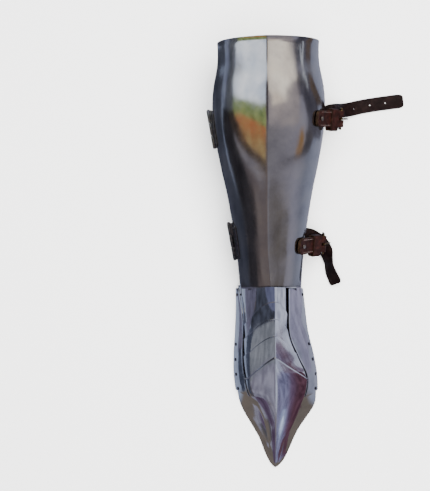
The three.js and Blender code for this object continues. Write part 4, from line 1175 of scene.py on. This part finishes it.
def strap_piece(place):
    share, angle = strap_places[place]
    y = share * greave_length
    point, around, _, normal = calf_frame(y, angle)
    normal, around = leg_turned @ normal, leg_turned @ around
    start = on_object(point)
    lift = normal * (leather_lift + strap_thick / 2)
    edge = float(greave_size(y)["half"])
    route = [(start + around * d + lift, np.cross(normal, around)) for d in (-9, 0, 8)]
    for out, shift, up, turn, lean in strap_routes[place]:
        a, b = math.radians(turn), math.radians(lean)
        at = np.array([edge + out + leg_place[0], start[1] + shift, up])
        width = np.array([math.sin(a) * math.cos(b), math.cos(a) * math.cos(b), math.sin(b)])
        route.append((at, width))
    points = [p for p, _ in route]
    last = len(points) - 1
    rows = 150
    curve = centripetal(points, rows)
    length = sum(np.linalg.norm(b[0] - a[0]) for a, b in zip(curve, curve[1:]))
    # Closer at the edges and at the creasing line
    shares = np.array([-1, -0.985, -0.94, -0.86, -0.8, -0.74, -0.6, -0.42, -0.21, 0])
    columns = np.concatenate([shares, -shares[-2::-1]])
    groove = np.where(np.isclose(np.abs(columns), groove_at), groove_depth, 0)
    crown = crown_height * (1 - columns**2)
    outer = np.zeros((rows, len(columns), 3))
    inner = np.zeros_like(outer)
    gone = 0.0
    head = 7.0  # how long the rounding is at the riveted end
    tip, end_width = strap_tips[place]
    seed = 1.0 if place == "upper" else 5.0
    for r, (p, direction, at) in enumerate(curve):
        if r:
            gone += np.linalg.norm(p - curve[r - 1][0])
        i = min(int(at), last - 1)
        width = mix(route[i][1], route[i + 1][1], at - i)
        width = unit(width - direction * width.dot(direction))
        face = np.cross(direction, width)
        left = length - gone
        half = strap_width / 2
        if left < tip:
            half *= mix(end_width, 1, math.sqrt(max(1 - (1 - left / tip) ** 2, 0)))
        if gone < head:
            half *= mix(0.5, 1, math.sqrt(1 - (1 - gone / head) ** 2))
        for c, column in enumerate(columns):
            wear = 0.12 * noise.noise(Vector((gone / 11, column * 1.5, seed)))
            rim = p + width * (column * half)
            outer[r, c] = rim + face * (strap_thick / 2 - groove[c] + crown[c] - 0.15 + wear)
            inner[r, c] = rim - face * (strap_thick / 2)
    keep = np.ones((rows - 1, len(columns) - 1), bool)
    middle = len(columns) // 2
    for hole in strap_holes[place]:
        r = round(hole * (rows - 1))
        centre, direction, _ = curve[r]
        width = unit(outer[r, -1] - outer[r, 0])
        face = unit(np.cross(direction, width))
        keep[r - 1 : r + 1, middle - 1 : middle + 1] = False
        for dr in (-1, 0, 1):
            for dc in (-1, 0, 1):
                if not dr and not dc:
                    continue
                a = math.atan2(dc, dr)
                shift = strap_hole * (direction * math.cos(a) + width * math.sin(a))
                outer[r + dr, middle + dc] = centre + shift + face * strap_thick / 2
                inner[r + dr, middle + dc] = centre + shift - face * strap_thick / 2
    strap = sheet_piece(
        f"{place}_strap_leather", outer, inner, 0.5, 3, keep, materials=[strap_leather]
    )
    settle(strap, "calf", "strap_leather", f"{place}_strap")
    node = f"{place}_strap_rivet"
    rivet_piece(node, start, around, normal, strap_rivet, "calf", "rivet_steel", strap_rivet_steel)


# Sabaton


def plate_edge(plate, around):
    _, ridge, crease, sole, arch = plate
    around = np.abs(around)
    over = mix(ridge, crease, np.minimum(around, 1) ** arch)
    side = mix(crease, sole, np.clip(around - 1, 0, 1) ** 1.2)
    return np.where(around <= 1, over, side)


toe_slope_end = 0.75  # share of the foot's length where the toe cap lies down on its base surface


def plate_lift(rear, next_rear, q):
    """A plate stands over the one behind it at its rear edge, and comes down evenly to the next."""
    return layer * (1 - np.clip((q - rear) / (next_rear - rear), 0, 1))


def foot_columns():
    """Places round the sabaton's section, closer at the ridge and the creases, where it folds."""
    near = np.array([0, 0.01, 0.02, 0.032, 0.046, 0.065, 0.09])
    side = np.concatenate([near, np.linspace(0.12, 0.92, 17), np.linspace(0.935, 1.065, 11),
                           np.linspace(1.11, 2.0, 19)])
    return np.concatenate([-side[:0:-1], side])


def foot_plate(index):
    plate = foot_plates[index]
    columns = foot_columns()
    rear = plate_edge(plate, columns)[None, :]
    overlap = lame_overlap / foot_length
    if index < len(foot_plates) - 1:
        next_rear = plate_edge(foot_plates[index + 1], columns)[None, :]
        shares = np.linspace(0, 1, 34)[:, None]
        q = mix(rear, next_rear + overlap, shares)
        lift = plate_lift(rear, next_rear, q) if index else 0 * q
        outer = foot_surface(q, columns[None, :], lift)
        inner = foot_surface(q, columns[None, :], lift - plate_sheet)
    else:
        round_over = 1 - 0.1 * np.cos(np.linspace(0, math.pi / 2, 20))[1:]
        shares = np.concatenate([np.linspace(0, 0.9, 52), round_over])[:, None]
        q = mix(rear, 1, shares)
        lift = plate_lift(rear, toe_slope_end, q)
        outer = foot_surface(q, columns[None, :], lift)
        tip_start = 0.94
        q_in = np.minimum(q, mix(rear, tip_start, np.minimum(shares / 0.98, 1)))
        lift_in = plate_lift(rear, toe_slope_end, q_in)
        inner = foot_surface(q_in, columns[None, :], lift_in - plate_sheet)
        tip = foot_surface([tip_start + 0.008], [0.0], [0.0])[0]
        tip[2] = tip_height
        inner[-1, :] = tip
    name = plate[0]
    piece = sheet_piece(f"{name}_polished", outer, inner, 0.3, 2, materials=[mirror_steel])
    settle(piece, "shin", "sabaton_steel", name)


def side_plate(word, way, edge):
    # How far out its inner face lies at the upper edge, and its outer face at the sole
    under, over = layer + 0.3, sheet + lame_gap + side_gap + sheet
    # Where its front end is at the upper edge and at the sole, as shares of the foot's length
    front_upper, front_sole = 0.605, 0.572
    edge_at = table_curve(edge, 1, 0.02)
    steps = np.concatenate([np.linspace(0, 0.12, 5), np.linspace(0.16, 1, 26)])[None, :]
    shares = np.linspace(0, 1, 70)[:, None]
    around = mix(edge_at(shares * front_upper), 2.0, steps)
    # Its rear end leans towards the toe near the sole
    rear = 0.02 * np.maximum(around - 1.45, 0) / 0.6
    q = mix(rear, mix(front_upper, front_sole, np.minimum(around - 1, 1)), shares)
    around = mix(edge_at(q), 2.0, steps)
    # The upper edge lies close on the lames. On the outer side it stands off a little at the ankle
    stand_off = 0.9 * (1 - smoothstep(q, 0.22, 0.31)) if way > 0 else 0
    inner_lift = mix(under + stand_off, over - sheet, smoothstep(steps, 0.0, 0.6))
    outer = foot_surface(q, way * around, inner_lift + sheet)
    inner = foot_surface(q, way * around, inner_lift)
    name = f"side_plate_{word}"
    piece = sheet_piece(f"{name}_polished", outer, inner, 0.35, 2, materials=[mirror_steel])
    settle(piece, "shin", "sabaton_steel", name)
    place = lambda q_at, a: foot_surface([q_at], [way * a], [0.0])[0]
    step = 0.01
    for i, (at, where) in enumerate(side_rivets):
        centre = place(at, where)
        down = unit(place(at, where + step) - place(at, where - step))
        toe = unit(place(at + step, where) - place(at - step, where))
        normal = unit(np.cross(down, toe)) * way
        node = f"side_rivet_{word}_{i + 1}"
        rivet_piece(node, centre, down, normal, side_rivet, "shin", "rivet_steel", rivet_steel)


def ankle_leather():
    """The hidden band that hangs the sabaton in the greave."""
    columns = 25
    across = np.linspace(-0.36, 0.36, columns)
    inside = -sheet - gap
    leather = 2.4
    rows = []
    for above in (22, 18, 14, 10.5, 7):
        row = []
        for share in across:
            angle = math.degrees(math.asin(share))
            y = float(shin_lower_edge(np.array(angle))) + above
            point, _, _, normal = shin_frame(y, angle)
            depth = mix(1.3, 1.1, min(abs(share) / 0.12, 1))
            row.append(on_object(point + normal * inside * depth))
        rows.append(row)
    for q in (-0.01, 0.01, 0.03, 0.05, 0.07):
        line = foot_surface(q, np.linspace(-1.4, 1.4, 121), inside)
        line[:, 1] = foot_place[1] - q * foot_length
        x = foot_place[0] + ridge_offset + across * ankle_width / 2
        z = np.interp(x, line[:, 0], line[:, 2])
        rows.append(np.stack([x, np.full(columns, line[0, 1]), z], -1))
    outer = np.array(rows)
    inner = outer + np.array([0, 0, -leather])
    band = sheet_piece("ankle_leather_band", outer, inner, 0.4, 2, materials=[strap_leather])
    settle(band, "shin", "strap_leather", "ankle_leather")


greave_shells()
for place in ("upper", "lower"):
    hinge_pieces(place)
    chape_piece(place)
    chape_rivet(place)
    keeper_piece(place)
    buckle_piece(place)
    prong_piece(place)
    strap_piece(place)
for index in range(len(foot_plates)):
    foot_plate(index)
side_plate("inner", -1, inner_plate_edge)
side_plate("outer", 1, outer_plate_edge)
ankle_leather()


# Floor, surroundings, light and camera

camera_place = (-140.5, 23.2, 1450)
camera_lens = 68.1
camera_sensor = 36
air_light = 2.0  # how strongly the surroundings and the cards shine in the steel
panel_size = 3.0  # metres
panel_power = 380  # watts


def pale_floor():
    bm = bmesh.new()
    bmesh.ops.create_grid(bm, x_segments=8, y_segments=8, size=6000)
    floor = finish_mesh("floor", bm, materials=[paper_floor("matt white card")])
    floor.location.z = -0.0002
    floor.visible_glossy = False


# What the steel mirrors from straight under to straight over, on the hinge side and on the other
air_on_left = (
    (0.0, 0x868EA2), (0.3, 0x7C8498), (0.46, 0x3C3E46), (0.6, 0x4A4548), (0.75, 0x544A4A),
    (0.92, 0x665C5A), (0.955, 0x665C5A), (0.98, 0x3A3436),
)
air_on_right = (
    (0.0, 0x888A9A), (0.3, 0x7C7F8F), (0.46, 0x6C6E7B), (0.6, 0x7C7A86), (0.75, 0x767279),
    (0.92, 0x6C686C), (0.955, 0x6A6466), (0.98, 0x3A3436),
)


def studio_world():
    """Dull open air as the steel mirrors it: darker on the hinge side, brown ground past the toe,
    and brighter air past the knee. The camera sees plain white."""
    world = bpy.data.worlds.new("soft studio")
    bpy.context.scene.world = world
    world.use_nodes = True
    tree = world.node_tree
    tree.nodes.clear()
    direction = add(tree, "ShaderNodeTexCoord")["Generated"]
    axes = add(tree, "ShaderNodeSeparateXYZ", links={"Vector": direction})
    share = {}
    for name, axis, start, end in (
        ("up", "Z", -1.0, 1.0), ("low", "Z", 0.08, -0.08), ("high", "Z", 0.3, 0.42),
        ("to the right", "X", -0.12, 0.12), ("past the toe", "Y", -0.36, -0.5),
        ("past the knee", "Y", 0.16, 0.24),
    ):
        span = {"inputs": {"From Min": start, "From Max": end}}
        share[name] = add(tree, "ShaderNodeMapRange", span, {"Value": axes[axis]})["Result"]
    left, right = [
        add(tree, "ShaderNodeValToRGB", {"stops": stops}, {"Fac": share["up"]})["Color"]
        for stops in (air_on_left, air_on_right)
    ]
    ground, open_air = [
        add(tree, "ShaderNodeMath", {"operation": "MULTIPLY"}, {0: share[a], 1: share[b]})[0]
        for a, b in (("past the toe", "low"), ("past the knee", "high"))
    ]
    sides = {0: share["to the right"], 6: left, 7: right}
    shade = add(tree, "ShaderNodeMix", {"data_type": "RGBA"}, sides)[2]
    brown = {"data_type": "RGBA", "inputs": {7: colour(0x5E5650)}}
    shade = add(tree, "ShaderNodeMix", brown, {0: ground, 6: shade})[2]
    sky = {"data_type": "RGBA", "inputs": {6: colour(0xD2DCEA), 7: colour(0xE0D4C6)}}
    sky_shade = add(tree, "ShaderNodeMix", sky, {0: share["to the right"]})[2]
    over_knee = {0: open_air, 6: shade, 7: sky_shade}
    shade = add(tree, "ShaderNodeMix", {"data_type": "RGBA"}, over_knee)[2]
    mirrored = add(tree, "ShaderNodeBackground", {"inputs": {"Strength": air_light}},
                   {"Color": shade})[0]
    plain_air = {"inputs": {"Color": colour(0xF8F8F8), "Strength": 1.0}}
    plain = add(tree, "ShaderNodeBackground", plain_air)[0]
    seen = add(tree, "ShaderNodeLightPath")["Is Camera Ray"]
    both = add(tree, "ShaderNodeMixShader", links={0: seen, 1: mirrored, 2: plain})[0]
    add(tree, "ShaderNodeOutputWorld", links={"Surface": both})


def greave_face(share, angle, _):
    return on_object(shin_surface(share * greave_length, angle))


def sabaton_face(q, around, at):
    """Places on the lames as they lie over each other. at gives the q and around that say on which
    plate."""
    lift = np.zeros(q.shape)
    for index in range(1, len(foot_plates)):
        rear = plate_edge(foot_plates[index], around)
        following = foot_plates[index + 1] if index < len(foot_plates) - 1 else None
        next_rear = plate_edge(following, around) if following else toe_slope_end
        on_plate = at[0] >= plate_edge(foot_plates[index], at[1])
        lift = np.where(on_plate, plate_lift(rear, next_rear, q), lift)
    return foot_surface(q, around, lift)


# Painted reflections: the cards below glow, though they are no lamps, and each is bent so that from
# the camera it lies on just its rows of the steel.
# What the steel mirrors: painted cards out of the picture. Each has a name, how far off it stands,
# where it shows on the steel, its two near shades and how wide its mottling is.
# Where it shows is a row for each place along: the place and the card's two sides there, round the
# leg in degrees or over the foot from the ridge.
greave_cards = [
    ("pale sky", 300, (
        (0.985, -32, -1.3), (0.955, -36, -1.3), (0.875, -40, -1.3), (0.8, -38, -1.3),
        (0.765, -36, -1.3), (0.75, -20, -1.3), (0.73, -6, -1.3),
    ), (0xCCD6E6, 0xF6F9FF), 120),
    ("leaves", 295, (
        (0.775, -38, -34), (0.76, -39, -18), (0.735, -39, -1.5), (0.7, -38, -1.5),
        (0.68, -24, -1.5), (0.655, -9, -1.5), (0.64, -3, -1.5),
    ), (0x4E5E34, 0x8A965E), 40),
    ("brick", 290, (
        (0.705, -36, -31), (0.69, -34, -22), (0.667, -31, -11), (0.645, -27, -1.5),
        (0.62, -16, -1.5), (0.6, -5, -1.5),
    ), (0xA85C3C, 0xA4784C), 40),
    ("ochre wall", 292, (
        (0.69, -34, -30), (0.66, -31, -22), (0.63, -28, -10), (0.6, -24, -2.2), (0.57, -16, -2.2),
        (0.545, -8, -2.2), (0.525, -3.5, -2.2),
    ), (0x8C6A46, 0xA08C60), 60),
    ("eaves", 285, (
        (0.72, -46, -37), (0.68, -43, -34), (0.63, -38, -29), (0.6, -34, -25), (0.565, -28, -17),
        (0.54, -21, -9), (0.515, -14, -1.5), (0.488, -5, -1.5),
    ), (0x1E1A18, 0x352D2A), 60),
    ("grey path", 288, (
        (0.628, -39, -38), (0.58, -35, -30), (0.547, -32, -24), (0.51, -25, -14), (0.478, -18, -4),
        (0.45, -10, -1.5), (0.422, -3, -1.5),
    ), (0x6E6A70, 0x858188), 60),
    ("long shadow", 282, (
        (0.73, -53, -46), (0.642, -56, -40), (0.58, -54, -36), (0.532, -52, -32), (0.47, -49, -27),
        (0.405, -46, -21), (0.338, -42, -18), (0.275, -38, -18), (0.19, -35, -15), (0.1, -38, -20),
        (0.0, -42, -24),
    ), (0x1A191D, 0x2A282C), 80),
    ("side shadow", 288, (
        (0.965, -50, -38), (0.9, -48, -39.5), (0.84, -46, -39.5), (0.77, -46, -37),
        (0.72, -46, -38),
    ), (0x3A3A40, 0x52545A), 60),
    ("light post", 280, (
        (0.95, -57.5, -54), (0.9, -55.5, -51.5), (0.838, -53.5, -49), (0.78, -52, -48.5),
        (0.738, -52, -50),
    ), (0x70748A, 0x8A8EA2), 60),
    ("navy cloth", 210, (
        (0.99, -90, -59), (0.84, -90, -56), (0.738, -90, -56), (0.628, -90, -57),
        (0.547, -90, -56), (0.468, -90, -53), (0.37, -90, -47), (0.273, -90, -41),
        (0.15, -90, -37), (0.0, -90, -44),
    ), (0x2C2E37, 0x40424D), 90),
    # edge shade is a painted shadow: a dark card that the greave's lowest edge mirrors, standing
    # for the shade in the gap over the sabaton
    ("edge shade", 150, (
        (-0.02, -74, 74), (0.001, -74, 74),
    ), (0x1C1A1E, 0x2A282C), 40),
    ("cream wall", 300, (
        (0.985, 1.3, 16), (0.965, 1.3, 20), (0.938, 1.3, 28), (0.88, 1.3, 30), (0.83, 1.3, 29),
        (0.8, 1.3, 23), (0.786, 1.3, 16), (0.775, 4, 10),
    ), (0xD4C4B2, 0xFAEEDC), 130),
    ("dusk", 305, (
        (0.83, 1.3, 30), (0.74, 1.3, 31), (0.7, 1.3, 31), (0.66, 1.3, 30),
    ), (0x827A7C, 0x9A908E), 90),
    ("dark frame", 290, (
        (0.985, 28, 46), (0.93, 30, 46), (0.878, 31, 46), (0.83, 32, 46), (0.792, 33, 48),
        (0.75, 36, 54), (0.715, 39, 58), (0.67, 41, 66), (0.638, 42, 68), (0.6, 45, 70),
    ), (0x38363E, 0x484650), 60),
    ("white post", 280, (
        (0.955, 36.6, 37.9), (0.915, 37.6, 38.9), (0.875, 39, 40.3), (0.83, 40.6, 41.9),
        (0.795, 41.6, 42.5),
    ), (0xC4C8D0, 0xE6E8EC), 60),
    ("brown frame", 288, (
        (0.985, 46, 54), (0.885, 46, 53), (0.833, 46, 53), (0.807, 46, 56), (0.77, 50, 62),
        (0.735, 56, 70),
    ), (0x40352F, 0x52463E), 60),
    ("gold cloth", 280, (
        (0.64, 32, 37), (0.61, 31, 39), (0.583, 30, 39.5), (0.555, 28, 39), (0.53, 29, 36),
    ), (0x6E5030, 0x8C6C40), 50),
    ("low shadow", 285, (
        (0.638, 39, 46), (0.6, 40, 52), (0.557, 37, 49), (0.535, 22, 43), (0.515, 13, 30),
        (0.497, 5, 14),
    ), (0x3E3B40, 0x524F54), 60),
    ("olive ground", 295, (
        (0.38, 1.5, 14), (0.325, 1.5, 22), (0.24, 1.5, 25), (0.155, 1.5, 31), (0.09, 1.5, 30),
        (0.0, 1.5, 22),
    ), (0x524C46, 0x6C6668), 90),
    ("brown ground", 295, (
        (0.41, -19, -1.5), (0.34, -18, -1.5), (0.275, -18, -1.5), (0.195, -14, -1.5),
        (0.1, -19, -3), (0.03, -23, -7),
    ), (0x4C4244, 0x68605E), 90),
]
foot_cards = [
    ("mauve wall", 320, (
        (-0.02, -1.35, -0.75), (0.06, -1.35, -0.8), (0.13, -1.3, -0.88), (0.19, -1.25, -1.0),
        (0.26, -1.2, -1.1),
    ), (0x4A4856, 0x5E5C6E), 36),
    ("night", 300, (
        (-0.02, -0.76, 0.005), (0.05, -0.78, 0.005), (0.1, -0.8, 0.005), (0.165, -0.96, 0.005),
        (0.19, -1.0, -0.42), (0.228, -0.98, -0.8),
    ), (0x26282F, 0x40434F), 42),
    ("violet", 270, (
        (-0.02, -0.4, 0.005), (0.03, -0.36, 0.005), (0.085, -0.24, 0.005), (0.12, -0.1, 0.005),
    ), (0x4A4C62, 0x5E6078), 27),
    ("weathered boards", 300, (
        (0.17, -0.06, 0.005), (0.19, -0.42, 0.005), (0.228, -0.83, 0.005), (0.283, -0.94, 0.005),
        (0.365, -0.98, 0.005), (0.372, -0.98, -0.03), (0.421, -0.95, -0.43), (0.469, -0.94, -0.9),
    ), (0x5E6066, 0x777980), 30),
    ("deep blue", 270, (
        (0.24, -1.12, -0.86), (0.3, -1.18, -0.95), (0.36, -1.18, -0.97), (0.42, -1.14, -0.95),
        (0.47, -1.1, -0.94), (0.52, -1.06, -0.93), (0.58, -1.0, -0.92),
    ), (0x2C303C, 0x3E4250), 27),
    ("pale boards", 320, (
        (0.388, -0.03, 0.005), (0.43, -0.43, 0.005), (0.48, -0.95, 0.005), (0.55, -0.88, 0.005),
        (0.62, -0.82, 0.005), (0.665, -0.84, 0.005), (0.69, -0.84, -0.42), (0.72, -0.84, -0.6),
    ), (0x625F6C, 0x82808E), 45),
    ("mauve cloth", 270, (
        (0.72, -0.26, -0.15), (0.74, -0.34, -0.06), (0.77, -0.4, -0.03), (0.82, -0.46, -0.02),
        (0.89, -0.5, -0.02), (0.97, -0.55, -0.02),
    ), (0x403344, 0x56485C), 30),
    ("grey wall", 320, (
        (-0.02, 0.96, 1.75), (0.1, 0.96, 1.7), (0.2, 0.96, 1.5), (0.28, 1.0, 1.3),
    ), (0x6E6C7E, 0x858398), 42),
    ("hall end", 190, (
        (-0.02, 0.01, 0.95), (0.1, 0.01, 0.95), (0.2, 0.01, 0.95), (0.29, 0.01, 0.95),
    ), (0x8A8C9C, 0xB4B8C8), 30),
    ("pale hall", 390, (
        (0.27, 0.01, 0.95), (0.4, 0.01, 0.96), (0.45, 0.01, 0.98), (0.58, 0.01, 0.98),
        (0.66, 0.01, 0.92),
    ), (0x8A8C9C, 0xB4B8C8), 48),
    ("plum cloth", 300, (
        (0.293, 0.28, 0.76), (0.33, 0.15, 0.85), (0.355, 0.1, 0.93), (0.375, 0.07, 0.95),
        (0.405, 0.35, 0.96), (0.433, 0.75, 0.98),
    ), (0x564A5A, 0x7C7284), 42),
    ("lilac cloth", 300, (
        (0.43, 0.26, 0.45), (0.445, 0.13, 0.5), (0.473, 0.06, 0.51), (0.567, 0.06, 0.53),
        (0.695, 0.06, 0.62), (0.818, 0.06, 0.72), (0.9, 0.05, 0.72), (0.97, 0.04, 0.72),
    ), (0x56546C, 0x7A7A96), 27),
    ("window", 250, (
        (0.7, 0.3, 0.4), (0.74, 0.2, 0.48), (0.78, 0.16, 0.5), (0.82, 0.17, 0.46),
        (0.87, 0.22, 0.36),
    ), (0x9AA6C4, 0xC4D0E8), 27),
    ("glow", 275, (
        (0.66, 0.2, 0.5), (0.7, 0.12, 0.56), (0.76, 0.1, 0.58), (0.82, 0.12, 0.56),
        (0.9, 0.15, 0.5),
    ), (0x747A98, 0x8C94B2), 27),
    ("wine cloth", 315, (
        (0.43, 0.26, 0.7), (0.47, 0.3, 0.8), (0.567, 0.3, 0.85), (0.695, 0.35, 0.9),
        (0.818, 0.4, 0.95), (0.9, 0.45, 0.98), (0.96, 0.45, 0.98),
    ), (0x4C3C50, 0x5E4C62), 24),
    ("maroon cloth", 290, (
        (0.428, 0.4, 0.62), (0.445, 0.4, 0.82), (0.47, 0.45, 0.97), (0.495, 0.45, 1.02),
        (0.55, 0.5, 1.0), (0.609, 0.5, 1.0), (0.7, 0.55, 1.04), (0.8, 0.65, 1.06),
        (0.93, 0.65, 1.06), (0.965, 0.65, 1.0),
    ), (0x3C2630, 0x563A46), 36),
]

# How far to each side, along and across, the steel's slope is taken
greave_steps = (0.002, 0.3)
sabaton_steps = (0.006, 0.006)

# How far a card fades in from its first side, its second side and its last row, as shares of it
soft_edges = {
    "cream wall": (0, 0.3, 0.25), "pale sky": (0, 0, 0.2), "gold cloth": (0.3, 0.3, 0.3),
    "grey path": (0, 0, 0.2), "brick": (0, 0, 0.2), "light post": (0.5, 0.5, 0.3),
    "lilac cloth": (0, 0.45, 0), "wine cloth": (0, 0.3, 0), "maroon cloth": (0.5, 0, 0.2),
    "window": (0.5, 0.5, 0.5), "glow": (0.4, 0.5, 0.5), "mauve cloth": (0.2, 0, 0),
}


def card_paint(name, shades, mottle):
    """A painted card, glowing as brightly as the surroundings, in two near shades: a painted
    reflection that only the steel shows.
    """
    material, tree, place = new_finish(name)
    cloud = add(tree, "ShaderNodeTexNoise", {"inputs": {"Scale": 1 / (mottle * MM), "Detail": 3}},
                {"Vector": place})["Fac"]
    stops = list(zip((0.36, 0.62), shades))
    shade = add(tree, "ShaderNodeValToRGB", {"stops": stops}, {"Fac": cloud})["Color"]
    glow = add(tree, "ShaderNodeEmission", {"inputs": {"Strength": air_light}}, {"Color": shade})[0]
    cover = add(tree, "ShaderNodeAttribute", {"attribute_name": "cover"})["Fac"]
    clear = add(tree, "ShaderNodeBsdfTransparent")[0]
    soft = add(tree, "ShaderNodeMixShader", links={0: cover, 1: clear, 2: glow})[0]
    add(tree, "ShaderNodeOutputMaterial", links={"Surface": soft})
    return material


def mirrored_card(face, steps, name, distance, rows, shades, mottle):
    """A painted reflection: a glowing card bent and cut so that, from the camera, it fills just its
    rows of the steel.
    """
    row_steps, width_steps = 8, 10
    fine = np.linspace(0, len(rows) - 1, row_steps * (len(rows) - 1) + 1)
    along, start, end = [np.interp(fine, range(len(rows)), side)[:, None] for side in zip(*rows)]
    across = mix(start, end, np.linspace(0, 1, width_steps + 1)[None, :])
    along = np.broadcast_to(along, across.shape)
    here = (along, across)
    points = face(along, across, here)
    toward_toe = face(along + steps[0], across, here) - face(along - steps[0], across, here)
    round_it = face(along, across + steps[1], here) - face(along, across - steps[1], here)
    normals = unit(np.cross(toward_toe, round_it))
    rays = unit(points - np.array(camera_place))
    mirrored = rays - 2 * np.sum(rays * normals, -1, keepdims=True) * normals
    corners = points + mirrored * distance
    bm = bmesh.new()
    cover = bm.verts.layers.float.new("cover")
    grid = [[bm.verts.new(corner) for corner in row] for row in corners]
    from_start, to_end, to_last = soft_edges.get(name, (0, 0, 0))
    for r, row in enumerate(grid):
        left = 1 - r / (len(grid) - 1)
        for k, corner in enumerate(row):
            share = k / width_steps
            corner[cover] = 1
            for inside, fade in ((share, from_start), (1 - share, to_end), (left, to_last)):
                if fade:
                    corner[cover] *= float(smoothstep(inside, 0, fade))
    for a, b in zip(grid, grid[1:]):
        for k in range(len(a) - 1):
            bm.faces.new([a[k], a[k + 1], b[k + 1], b[k]])
    paint = card_paint(f"painted card, {name}", shades, mottle)
    card = finish_mesh(f"card_{name.replace(' ', '_')}", bm, materials=[paint])
    card.visible_camera = card.visible_diffuse = card.visible_shadow = False


def overhead_panel():
    """A square panel of plain white light, which the steel doesn't mirror."""
    lamp = bpy.data.lights.new("overhead panel", "AREA")
    lamp.shape = "RECTANGLE"
    lamp.size = lamp.size_y = panel_size
    lamp.energy = panel_power
    light = bpy.data.objects.new("overhead panel", lamp)
    bpy.context.scene.collection.objects.link(light)
    light.location = (0.3, 0.2, 2.6)
    aim = Vector((-0.05, 0, 0)) - light.location
    light.rotation_euler = aim.to_track_quat("-Z", "Y").to_euler()
    light.visible_camera = False
    light.visible_glossy = False


def camera_over():
    """Straight over the floor, with the knee at the top of the picture."""
    data = bpy.data.cameras.new("camera")
    data.lens = camera_lens
    data.sensor_width = camera_sensor
    data.clip_end = 100
    camera = bpy.data.objects.new("camera", data)
    bpy.context.scene.collection.objects.link(camera)
    camera.location = [c * MM for c in camera_place]
    bpy.context.scene.camera = camera


pale_floor()
studio_world()
for card in greave_cards:
    mirrored_card(greave_face, greave_steps, *card)
for card in foot_cards:
    mirrored_card(sabaton_face, sabaton_steps, *card)
overhead_panel()
camera_over()
